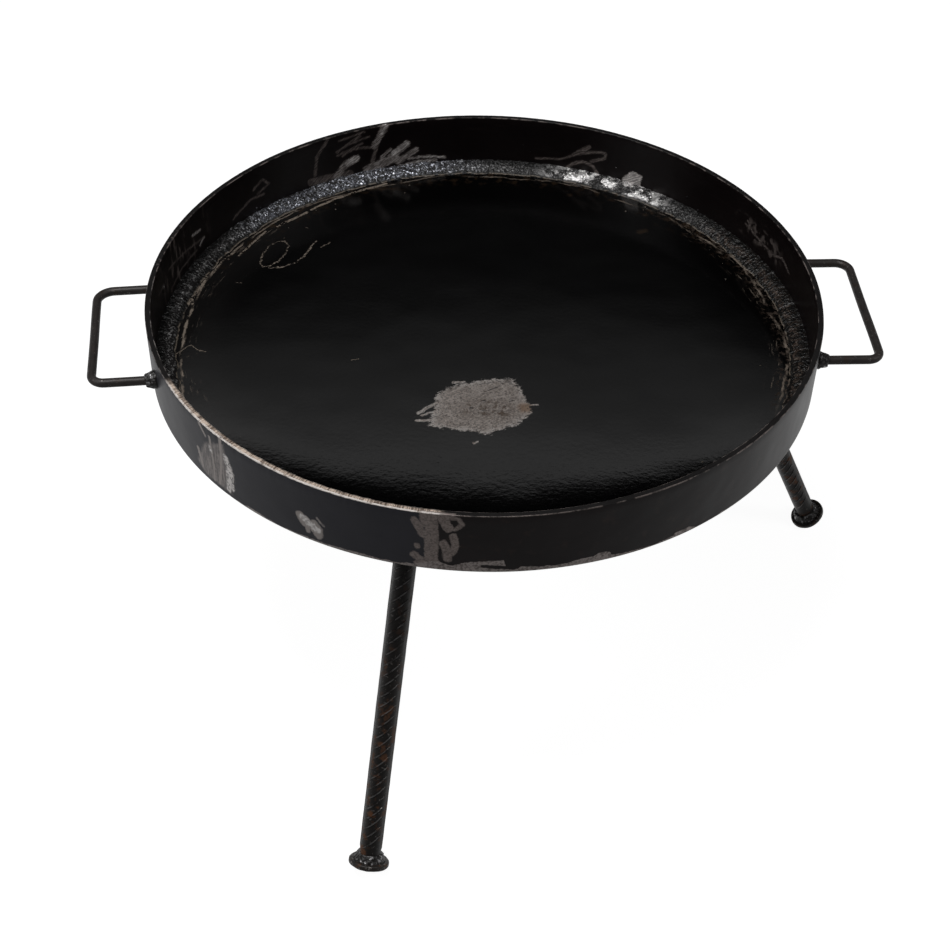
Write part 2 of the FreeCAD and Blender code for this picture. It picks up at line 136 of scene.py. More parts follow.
class Finish:
    """A surface finish while its nodes are being put together. Places are in millimetres."""

    def __init__(self, name):
        self.material = bpy.data.materials.new(name)
        self.material.use_nodes = True
        self.tree = self.material.node_tree
        self.tree.nodes.clear()
        metres = self.node("ShaderNodeTexCoord").outputs["Object"]
        self.place = self.scaled(metres, 1000)
        self.x, self.y, self.z = self.parts(self.place)
        self.radius = self.maths("SQRT", self.x * self.x + self.y * self.y)
        self.azimuth = self.maths("ARCTAN2", self.y, self.x) * (180 / math.pi)
        self.on_wall = self.vector(self.azimuth * WALL_STEP, self.z, 0)

    def node(self, kind, settings=None, sockets=None):
        made = self.tree.nodes.new(kind)
        for name, value in (settings or {}).items():
            if name == "stops":
                self.set_stops(made.color_ramp, value)
            else:
                setattr(made, name, value)
        for name, value in (sockets or {}).items():
            value = socket_of(value)
            if isinstance(value, bpy.types.NodeSocket):
                self.tree.links.new(value, made.inputs[name])
            else:
                made.inputs[name].default_value = value
        return made

    def set_stops(self, ramp, stops):
        while len(ramp.elements) < len(stops):
            ramp.elements.new(0.5)
        for element, (position, colour) in zip(ramp.elements, stops):
            element.position = position
            element.color = (*colour, 1)

    def maths(self, operation, first, second=0.0):
        made = self.node("ShaderNodeMath", {"operation": operation}, {0: first, 1: second})
        return Amount(self, made.outputs[0])

    def least(self, first, *others):
        for other in others:
            first = self.maths("MINIMUM", first, other)
        return first

    def most(self, first, *others):
        for other in others:
            first = self.maths("MAXIMUM", first, other)
        return first

    def vector_maths(self, operation, first, second=(0, 0, 0), output="Vector"):
        sockets = {0: first, 1: second}
        return self.node("ShaderNodeVectorMath", {"operation": operation}, sockets).outputs[output]

    def scaled(self, vector, factor):
        sockets = {0: vector, "Scale": factor}
        return self.node("ShaderNodeVectorMath", {"operation": "SCALE"}, sockets).outputs["Vector"]

    def vector(self, x, y, z):
        return self.node("ShaderNodeCombineXYZ", None, {"X": x, "Y": y, "Z": z}).outputs["Vector"]

    def parts(self, vector):
        made = self.node("ShaderNodeSeparateXYZ", None, {"Vector": vector})
        return [Amount(self, made.outputs[axis]) for axis in "XYZ"]

    def ease(self, value, start, end):
        """0 at start, 1 at end, smooth in between and flat outside."""
        made = self.node(
            "ShaderNodeMapRange",
            {"interpolation_type": "SMOOTHSTEP"},
            {"Value": value, "From Min": start, "From Max": end},
        )
        return Amount(self, made.outputs["Result"])

    def grain(self, size, at=None, detail=3.0, rough=0.55, stretch=(1, 1, 1), shift=0.0):
        """Soft random pattern about 0.5, with features of that size."""
        place = self.place if at is None else at
        place = self.vector_maths("MULTIPLY", place, [1 / (size * s) for s in stretch])
        place = self.vector_maths("ADD", place, (shift, shift * 0.7, shift * 1.3))
        sockets = {"Vector": place, "Scale": 1.0, "Detail": detail, "Roughness": rough}
        return Amount(self, self.node("ShaderNodeTexNoise", None, sockets).outputs["Fac"])

    def pebbles(self, size):
        """Distance from scattered points, as a share of their spacing."""
        sockets = {"Vector": self.scaled(self.place, 1 / size), "Scale": 1.0}
        return Amount(self, self.node("ShaderNodeTexVoronoi", None, sockets).outputs["Distance"])

    def shaken(self, vector, size, reach, detail=3.0):
        """The same place, pushed about at random by up to reach."""
        sockets = {"Vector": self.scaled(vector, 1 / size), "Scale": 1.0, "Detail": detail}
        noisy = self.node("ShaderNodeTexNoise", None, sockets).outputs["Color"]
        push = self.vector_maths("SUBTRACT", noisy, (0.5, 0.5, 0.5))
        return self.vector_maths("ADD", vector, self.scaled(push, 2 * reach))

    def from_line(self, at, corners):
        """Distance to a line through the corners."""
        nearest = None
        if len(corners) == 1:
            away = self.vector_maths("DISTANCE", at, (*corners[0], 0), "Value")
            return Amount(self, away)
        for start, end in zip(corners, corners[1:]):
            run = Vector((end[0] - start[0], end[1] - start[1], 0))
            offset = self.vector_maths("SUBTRACT", at, (*start, 0))
            share = self.vector_maths("DOT_PRODUCT", offset, run / run.length_squared, "Value")
            share = self.node("ShaderNodeClamp", None, {"Value": share}).outputs["Result"]
            foot = self.scaled(run, share)
            away = Amount(self, self.vector_maths("DISTANCE", offset, foot, "Value"))
            nearest = away if nearest is None else self.least(nearest, away)
        return nearest

    def strokes(self, at, lines, soft, ragged=0.0):
        """1 inside any of the strokes. Each line is (half width, corners); ragged eats their edges."""
        depth = None
        for half_width, corners in lines:
            inside = half_width - self.from_line(at, corners)
            depth = inside if depth is None else self.most(depth, inside)
        return self.ease(depth - ragged, -soft, soft)

    def within(self, at, corners):
        """Depth inside a convex outline, in millimetres."""
        depth = None
        sides = list(zip(corners, corners[1:] + corners[:1]))
        clockwise = sum(a[1] * b[0] - a[0] * b[1] for a, b in sides) > 0
        for start, end in sides:
            run = Vector((end[0] - start[0], end[1] - start[1]))
            inward = Vector((run.y, -run.x)) / run.length * (1 if clockwise else -1)
            reach = Amount(self, self.vector_maths("DOT_PRODUCT", at, (*inward, 0), "Value"))
            inside = reach - inward.dot(Vector(start))
            depth = inside if depth is None else self.least(depth, inside)
        return depth

    def mix(self, mask, below, above):
        made = self.node(
            "ShaderNodeMix",
            {"data_type": "RGBA"},
            {"Factor": mask, 6: below, 7: above},
        )
        return made.outputs[2]

    def blend(self, mask, below, above):
        """Number between below and above."""
        return below + (above - below) * mask

    def profile(self, value, points, top):
        """Height (0 to top) of a line through the points, read at value."""
        first = points[0][0]
        length = points[-1][0] - first
        stops = [((at - first) / length, (height / top,) * 3) for at, height in points]
        share = (value - first) / length
        line = self.node("ShaderNodeValToRGB", {"stops": stops}, {"Fac": share})
        return Amount(self, line.outputs["Color"]) * top

    def raised(self, height, depth, under=None):
        """Normal of a surface that stands out by height times depth millimetres."""
        sockets = {"Height": height * (depth * MM), "Distance": 1.0, "Strength": 1.0}
        if under is not None:
            sockets["Normal"] = under
        return self.node("ShaderNodeBump", None, sockets).outputs["Normal"]

    def done(self, colour, roughness, metallic=0.0, normal=None, gloss=0.5):
        """Closes the finish with its one shader and returns the material."""
        sockets = {
            "Base Color": colour,
            "Roughness": roughness,
            "Metallic": metallic,
            "Specular IOR Level": gloss,
        }
        if normal is not None:
            sockets["Normal"] = normal
        shader = self.node("ShaderNodeBsdfPrincipled", None, sockets)
        surface = {"Surface": shader.outputs["BSDF"]}
        self.node("ShaderNodeOutputMaterial", None, surface)
        return self.material


# Millimetres along the wall, and along the bead's toe, for one degree round the pan.
WALL_STEP = OUTER * math.pi / 180
TOE_STEP = 4.7


def on_strip(*places):
    """(azimuth in degrees, height in mm) places as millimetres along and up the wall."""
    return [(azimuth * WALL_STEP, height) for azimuth, height in places]


def on_toe(*places):
    """(radius in mm, azimuth in degrees) places as millimetres across and along the bead's toe."""
    return [(radius, azimuth * TOE_STEP) for radius, azimuth in places]


def wall_strokes(lines):
    return [(half_width, on_strip(*places)) for half_width, *places in lines]


def toe_strokes(lines):
    return [(half_width, on_toe(*places)) for half_width, *places in lines]


# ---------------------------------------------------------------- marks on the finishes

# Worn places on the wall. A stroke is its half width in millimetres and the places it goes through,
# and a place is degrees round the pan and millimetres above the ground.
WORN_LEFT = [
    (1.6, (-139.7, 372.5), (-138.2, 364.0)),
    (2.0, (-134.2, 374.0), (-134.4, 350.5), (-135.4, 322.0)),
    (1.6, (-137.0, 366.0), (-136.6, 336.0), (-136.8, 321.0)),
    (2.2, (-140.9, 341.0), (-140.0, 325.0)),
    (4.4, (-118.3, 338.5), (-117.6, 332.5)),
    (4.6, (-117.6, 336.0), (-115.8, 329.0)),
    (2.2, (-117.2, 333.0), (-117.0, 324.5)),
    (4.4, (-115.8, 335.0), (-115.2, 330.0), (-115.3, 324.0)),
    (1.0, (-115.3, 342.0), (-114.2, 336.0)),
]
BRIGHT_LEFT = [
    (3.6, (-133.2, 357.0), (-132.6, 347.0), (-133.2, 323.0)),
    (2.6, (-132.0, 343.0), (-132.2, 326.0)),
    (1.6, (-137.2, 356.0), (-137.0, 351.0)),
    (3.4, (-118.0, 337.0), (-116.6, 333.5), (-115.4, 329.0)),
]
WORN_SEAM = [
    (5.4, (-97.35, 372.0), (-97.1, 354.0), (-97.3, 325.0)),
    (3.2, (-99.7, 366.0), (-98.4, 351.0)),
    (2.8, (-98.5, 376.0), (-98.2, 362.0)),
    (2.0, (-99.4, 339.5), (-99.2, 337.5)),
    (3.4, (-99.8, 329.0), (-98.9, 324.5)),
    (2.0, (-97.0, 375.0), (-94.0, 374.7)),
    (4.4, (-95.5, 371.0), (-94.7, 361.0)),
    (1.8, (-94.8, 372.2), (-93.2, 371.0), (-92.6, 365.5), (-93.8, 359.5)),
    (3.3, (-93.9, 352.5), (-93.6, 342.0), (-94.3, 334.0)),
    (3.7, (-95.4, 344.0), (-94.9, 336.0), (-94.8, 328.0)),
    (3.4, (-99.2, 320.0), (-96.4, 321.5)),
]
LEFT_PATCH = [
    (-142.4, 328), (-142.0, 346), (-138.8, 356), (-137.0, 374), (-133.4, 376), (-132.2, 318),
    (-139.5, 318),
]
# Height in millimetres of the ground strip along the bottom edge, by degrees round the pan.
GROUND_STRIP = [
    (-150, 0.6), (-133, 0.4), (-129, 3.0), (-122, 1.4), (-116, 2.2), (-109, 3.6),
    (-103, 2.0), (-99.5, 4.0), (-97, 9.0), (-95.9, 9.0), (-94.4, 5.7), (-92.9, 8.6),
    (-89.9, 11.7), (-87.6, 12.8), (-86.3, 13.0), (-85.9, 3.0), (-84.2, 3.3),
    (-83.9, 5.8), (-80.6, 4.0), (-78.1, 3.8), (-76.3, 5.3), (-74.8, 7.0), (-72.6, 6.4),
    (-71.6, 10.4), (-70.2, 8.6), (-69.6, 4.3), (-67.4, 2.6), (-61.0, 1.0), (-58.5, 4.6),
    (-56.0, 5.5), (-54.5, 1.2), (-40, 0.5),
]
TALLEST_STRIP = 14.0
# Brushed strokes and chalky scribbles inside the wall.
BRUSHED_INSIDE = [
    (3.6, (110.6, 374.0), (113.0, 353.0)),
    (4.0, (106.3, 350.0), (109.8, 336.0)),
    (1.6, (109.6, 346.0), (111.6, 338.0)),
    (3.4, (104.5, 341.0), (108.0, 330.0)),
    (1.3, (98.5, 329.5), (101.5, 332.2), (106.0, 331.8)),
    (2.0, (100.4, 327.4), (105.0, 326.5), (109.3, 322.4), (117.8, 321.5)),
    (5.2, (108.8, 335.0), (114.6, 327.0)),
    (4.6, (117.2, 343.0), (119.3, 339.0)),
    (4.0, (119.6, 338.0), (121.3, 328.0)),
]
GLARING_INSIDE = [
    (3.0, (106.4, 350.0), (109.0, 341.0)),
    (3.6, (116.8, 343.6), (118.8, 340.0)),
    (1.3, (98.8, 330.0), (101.5, 332.2), (104.0, 332.2)),
    (1.3, (101.5, 327.4), (105.0, 326.5), (108.5, 323.4)),
    (1.1, (156.2, 340.0), (157.9, 335.6)),
    (1.5, (159.9, 353.4), (157.3, 351.7)),
    (2.0, (110.4, 374.0), (111.4, 366.0)),
]
FAINT_INSIDE = [
    (4.4, (127.0, 331.0), (118.5, 327.0)),
    (2.2, (112.3, 357.0), (113.5, 335.0)),
    (1.5, (116.0, 368.0), (121.0, 356.0)),
    (1.8, (123.0, 373.0), (125.5, 357.6), (126.1, 338.0)),
    (1.6, (113.0, 352.0), (117.6, 355.0), (119.8, 350.0)),
    (1.1, (114.0, 365.0), (118.5, 361.0)),
    (1.1, (115.0, 372.0), (120.5, 368.0)),
    (1.1, (115.5, 359.0), (121.0, 352.0)),
    (2.2, (69.2, 355.0), (72.2, 342.0)),
    (1.1, (72.2, 342.0), (75.0, 334.0), (80.0, 331.5)),
    (1.5, (71.3, 344.0), (67.9, 350.5), (65.6, 351.5), (65.8, 345.5), (68.6, 338.5)),
    (1.8, (73.8, 324.0), (72.4, 331.5), (70.3, 336.5), (68.2, 333.5), (67.0, 325.0)),
    (1.2, (30.5, 352.0), (28.5, 344.0), (22.0, 341.0), (18.0, 349.0), (14.5, 344.0)),
    (1.3, (141.0, 352.0), (138.5, 358.0), (137.0, 350.0), (140.0, 345.0)),
    (1.3, (147.0, 334.0), (142.0, 343.0), (138.5, 341.0)),
    (1.0, (171.2, 353.0), (163.1, 346.1), (156.2, 340.0)),
    (1.0, (171.1, 330.0), (164.9, 334.3), (159.0, 334.2)),
    (1.0, (178.7, 351.5), (175.4, 348.7)),
]
DAB = [(62.2, 325), (61.2, 333), (59.6, 341), (57.4, 338), (57.8, 325)]

# Marks on the floor plate, as strokes through (x, y) places in millimetres.
PATCH = [
    (-40, -86), (-31, -77), (-16, -70), (13, -62), (31, -63), (36, -82),
    (43, -97), (42, -111), (29, -125), (5, -138), (-24, -133), (-44, -129),
]
PATCH_SPIKES = [
    (1.5, [(-55, -112), (-40, -98)]),
    (1.1, [(-52, -115), (-38, -108)]),
    (1.5, [(-56, -122), (-40, -121)]),
    (1.3, [(-26, -69.4), (-17, -68.3)]),
    (1.0, [(40, -98), (48, -98)]),
    (1.4, [(-6.4, -150.5), (-3.4, -148.5)]),
]
PATCH_GAPS = [
    (1.0, [(5, -79), (15, -72.5)]),
    (0.9, [(-2, -71), (10, -67.5)]),
    (0.9, [(12, -64), (18, -69)]),
    (0.8, [(18, -62), (26, -68)]),
    (0.8, [(20, -66), (29, -71)]),
    (1.9, [(-9.6, -103.5)]),
    (1.2, [(0.4, -94), (2, -93.5)]),
    (1.3, [(1.0, -106)]),
    (1.0, [(24, -93), (27, -92)]),
    (1.0, [(-11, -77.5)]),
    (0.8, [(8, -124)]),
]
LOOP = [
    (-216, 108), (-216, 122), (-212, 136), (-204, 145), (-197, 146), (-192, 139),
    (-193, 127), (-198, 114), (-206, 104), (-213, 102), (-216, 108),
]
ARC = [(-207, 100), (-195, 102), (-184, 109), (-176, 120), (-171, 134), (-166, 147)]
LOOPS = [
    (0.7, LOOP),
    (0.8, ARC),
    (0.6, [(-178, 170), (-174, 169)]),
    (0.7, [(-235, 75), (-230, 74)]),
]
FAINT_LOOPS = [
    (1.6, [(210, 52), (218, 58), (224, 50), (217, 42), (210, 50)]),
    (1.6, [(226, 38), (233, 46), (241, 42), (236, 33), (227, 37)]),
]
SCRATCHES = [
    (0.5, [(-281, -43), (-265, -23), (-257, -30), (-250, -33)]),
    (0.5, [(-160, 137), (-152, 146)]),
    (0.4, [(-118, -40), (-112, -38)]),
]
DARK_SPOTS = [
    (1.9, [(-25, -142)]),
    (1.8, [(-257, -79)]),
    (1.5, [(-248, -87)]),
    (1.5, [(-242, -78)]),
]
# Lines along the bead's toe, through (radius, degrees round the pan) places.
TOE_RUNS = [
    (0.9, (275.6, 149.7), (275.4, 155.4), (276.2, 161.5)),
    (1.2, (277.0, 162.6), (276.6, 168.0), (280.6, 176.2)),
    (1.0, (271.2, 143.1), (268.2, 148.0), (267.0, 153.4)),
    (1.5, (267.0, 132.2), (268.4, 140.2)),
    (1.3, (274.5, 112.0), (272.0, 122.0), (268.5, 131.0)),
    (1.2, (278.0, 168.6), (275.0, 171.6)),
]


# ---------------------------------------------------------------- finishes


def worn_outside(paint, shaky, crumbs, speckle):
    """Bare steel outside the hoop, the ground strip that is part of it, and its brightest places."""
    streaks = paint.grain(1.3, at=paint.on_wall, stretch=(1, 14, 1), detail=4, shift=3)
    eaten = (streaks - 0.45) * 7 + (crumbs - 0.5) * 5
    left_area = paint.within(shaky, on_strip(*LEFT_PATCH))
    left_wear = paint.ease(left_area - paint.most(eaten, 0.0) * 1.3, -1.0, 2.5)
    left_wear = left_wear * (0.35 + 0.5 * paint.ease(streaks + 0.4 * crumbs, 0.60, 0.82))
    worn = paint.strokes(shaky, wall_strokes(WORN_LEFT), 0.9, paint.most(eaten * 0.30, 0.0))
    seam_wear = paint.strokes(shaky, wall_strokes(WORN_SEAM), 0.8, (crumbs - 0.5) * 3.2)
    seam_wear = seam_wear * (0.62 + 0.38 * paint.ease(crumbs + 0.5 * speckle, 0.60, 0.84))

    # A ragged strip along the bottom edge, where the corner weld was ground.
    ragged = paint.grain(6, at=paint.on_wall, stretch=(1.5, 1, 1), detail=5)
    strip_height = paint.profile(paint.azimuth, GROUND_STRIP, TALLEST_STRIP)
    above_bottom = paint.z - BOTTOM
    split = paint.strokes(shaky, [(1.9, on_strip((-89.4, 321.6), (-85.0, 319.8)))], 0.5)
    strip_depth = strip_height + (ragged - 0.5) * 5.0 - above_bottom
    strip = paint.ease(strip_depth, -0.35, 0.35) * (1 - split)
    strip = strip * (0.50 + 0.50 * paint.ease(crumbs + 0.5 * speckle, 0.60, 0.84))

    bright = paint.strokes(shaky, wall_strokes(BRIGHT_LEFT), 1.0, (streaks - 0.5) * 5)
    bright = bright * (0.35 + 0.65 * paint.ease(crumbs, 0.36, 0.54))
    return paint.most(worn, left_wear, seam_wear, strip), strip, bright


def marked_inside(paint, shaky, crumbs):
    """Brushed strokes inside the hoop, their brightest places, and faint chalky scribbles."""
    chatter = paint.grain(1.2, at=paint.on_wall, stretch=(4, 1, 1), detail=3, shift=7)
    combed = (chatter - 0.5) * 5 + (crumbs - 0.5) * 4
    along = Amount(paint, paint.vector_maths("DOT_PRODUCT", shaky, (-0.83, 0.55, 0), "Value"))
    across = Amount(paint, paint.vector_maths("DOT_PRODUCT", shaky, (0.55, 0.83, 0), "Value"))
    hair = paint.grain(1.3, at=paint.vector(along, across, 0), stretch=(9, 1, 1), detail=4)
    hairy = paint.ease(hair + 0.3 * (crumbs - 0.5), 0.40, 0.62)
    brushed = paint.strokes(shaky, wall_strokes(BRUSHED_INSIDE), 1.2, combed * 0.8)
    glare = paint.strokes(shaky, wall_strokes(GLARING_INSIDE), 1.2, combed * 0.6)
    faint = paint.strokes(shaky, wall_strokes(FAINT_INSIDE), 0.9, combed * 0.35)
    dab_area = paint.within(shaky, on_strip(*DAB))
    dab = paint.ease(dab_area - combed * 0.5, -0.6, 1.2)
    veiled = paint.ease(abs(paint.azimuth - 166), 13, 6) * paint.ease(paint.z, 320, 328)
    wisps = paint.grain(4, at=paint.on_wall, stretch=(1, 5, 1), detail=5, shift=5)
    veiled = veiled * paint.ease(wisps, 0.54, 0.66)
    patchy = paint.ease(abs(paint.azimuth - 26), 9, 4) * paint.ease(abs(paint.z - 346), 14, 6)
    patchy = patchy * paint.ease(paint.grain(9, detail=4, shift=2), 0.50, 0.60)
    brushed = brushed * (0.35 + 0.65 * hairy)
    glare = paint.most(glare * (0.45 + 0.55 * hairy), dab * (0.55 + 0.45 * hairy))
    faint = paint.most(faint * (0.15 + 0.4 * hairy), veiled * 0.45, patchy * 0.30)
    return brushed, glare, faint


def rolled_strip():
    """The hoop: mill scale, worn to bare steel in places and cut by torch along part of its rim."""
    paint = Finish("rolled_strip_scale")
    shaky = paint.shaken(paint.on_wall, 5.0, 1.3)
    mottle = paint.grain(38, detail=5)
    speckle = paint.grain(1.6, detail=2)
    fibres = paint.grain(2.2, at=paint.on_wall, stretch=(14, 1, 1), detail=4)
    middle = (INNER + OUTER) / 2
    outside = paint.ease(paint.radius, middle - 0.2, middle + 0.2)
    on_top = paint.ease(paint.z, TOP - 0.85, TOP - 0.55)

    # Outside: slate blue one way from the seam, brown the other.
    slate = paint.most(
        paint.ease(paint.azimuth, -97.2, -97.5), paint.ease(paint.azimuth, 40, 165)
    )
    brown_side = paint.mix(mottle, (0.0036, 0.0016, 0.0018, 1), (0.0125, 0.0060, 0.0062, 1))
    slate_side = paint.mix(mottle, (0.0205, 0.0205, 0.0280, 1), (0.035, 0.0345, 0.044, 1))
    colour = paint.mix(slate, brown_side, slate_side)
    rusty = paint.ease(paint.grain(11, detail=6, shift=9), 0.54, 0.70) * (1 - slate)
    colour = paint.mix(rusty * 0.6, colour, (0.026, 0.013, 0.010, 1))

    # Inside: nearly black with a little red, and brushed where it was cleaned for welding.
    inside_colour = paint.mix(mottle, (0.0035, 0.0016, 0.0018, 1), (0.0085, 0.0052, 0.0055, 1))
    inside_colour = paint.mix(
        paint.ease(fibres, 0.56, 0.75) * 0.5, inside_colour, (0.02, 0.014, 0.013, 1)
    )
    colour = paint.mix(outside, inside_colour, colour)

    crumbs = paint.grain(2.4, at=paint.on_wall, detail=5, shift=12)
    bare, strip, bright = worn_outside(paint, shaky, crumbs, speckle)
    bare = bare * outside
    bright = bright * outside
    marks = marked_inside(paint, shaky, crumbs)
    brushed, glare, faint = [mark * (1 - outside) for mark in marks]

    # The rim: tan and combed by the torch on one stretch, scaled and worn at its edges elsewhere.
    torch = paint.ease(paint.azimuth, -152, -149) * paint.ease(paint.azimuth, -95, -97)
    combs = paint.grain(0.8, at=paint.on_wall, stretch=(1, 8, 1), detail=3, shift=1)
    combs = paint.ease(combs + 0.5 * (paint.grain(7, detail=3) - 0.5), 0.34, 0.66)
    top_dark = paint.mix(mottle, (0.006, 0.0055, 0.0055, 1), (0.020, 0.018, 0.018, 1))
    top_tan = paint.mix(combs, (0.16, 0.115, 0.090, 1), (0.92, 0.75, 0.62, 1))
    burnt = paint.ease(paint.radius, INNER + 1.6, INNER + 0.4)
    top_tan = paint.mix(burnt * 0.8, top_tan, (0.035, 0.024, 0.018, 1))
    top_colour = paint.mix(torch, top_dark, top_tan)
    colour = paint.mix(on_top, colour, top_colour)
    past_corner = paint.most(paint.radius - (OUTER - 0.25), (INNER + 0.25) - paint.radius)
    lip = paint.ease(paint.z, TOP - 1.4, TOP - 0.4) * paint.ease(past_corner, -0.55, -0.1)
    lip = lip * paint.ease(paint.grain(9, at=paint.on_wall, detail=4), 0.42, 0.62)
    # Painted highlight: a near-white, non-metallic line along the outer edge of the torch-cut stretch of
    # the rim, where the edge catches the light; the gaps break it up.
    painted_edge_highlight = paint.ease(paint.radius, OUTER - 1.5, OUTER - 1.0) * torch
    painted_edge_highlight = painted_edge_highlight * paint.ease(paint.z, TOP - 1.1, TOP - 0.7)
    gaps = paint.grain(6, at=paint.on_wall, detail=5, shift=4)
    painted_edge_highlight = painted_edge_highlight * paint.ease(gaps, 0.34, 0.52)

    metal = paint.most(bare * 0.9, bright, brushed * 0.8, glare, faint, lip * 0.7)
    steel = paint.mix(speckle, (0.24, 0.20, 0.185, 1), (0.50, 0.425, 0.395, 1))
    on_left = paint.ease(paint.azimuth, -108, -112)
    steel = paint.mix(on_left * 0.6, steel, (0.56, 0.52, 0.50, 1))
    steel = paint.mix(strip * 0.6, steel, (0.62, 0.56, 0.54, 1))
    steel = paint.mix(paint.most(bright, glare, brushed * 0.45), steel, (0.92, 0.88, 0.86, 1))
    steel = paint.mix(torch * lip, steel, (0.85, 0.80, 0.72, 1))
    colour = paint.mix(metal, colour, steel)
    # The painted highlight along the torch-cut outer edge.
    colour = paint.mix(painted_edge_highlight, colour, (1.0, 0.93, 0.88, 1))
    roughness = paint.blend(metal, 0.28 + 0.12 * mottle + 0.04 * slate, 0.48)
    roughness = paint.blend(on_top * torch, roughness, 0.40)
    relief = 0.35 * fibres + 0.30 * speckle + 0.9 * metal
    normal = paint.raised(relief, 0.10)
    normal = paint.raised(combs * on_top * torch * (1 - painted_edge_highlight), 0.12, normal)
    normal = paint.raised(paint.grain(26, detail=1), 0.5, normal)
    metal = metal * (0.12 + 0.78 * outside - 0.45 * bright)
    metal = paint.blend(on_top * torch, metal, 0.06) * (1 - painted_edge_highlight)
    return paint.done(colour, roughness, metal, normal, gloss=0.36)


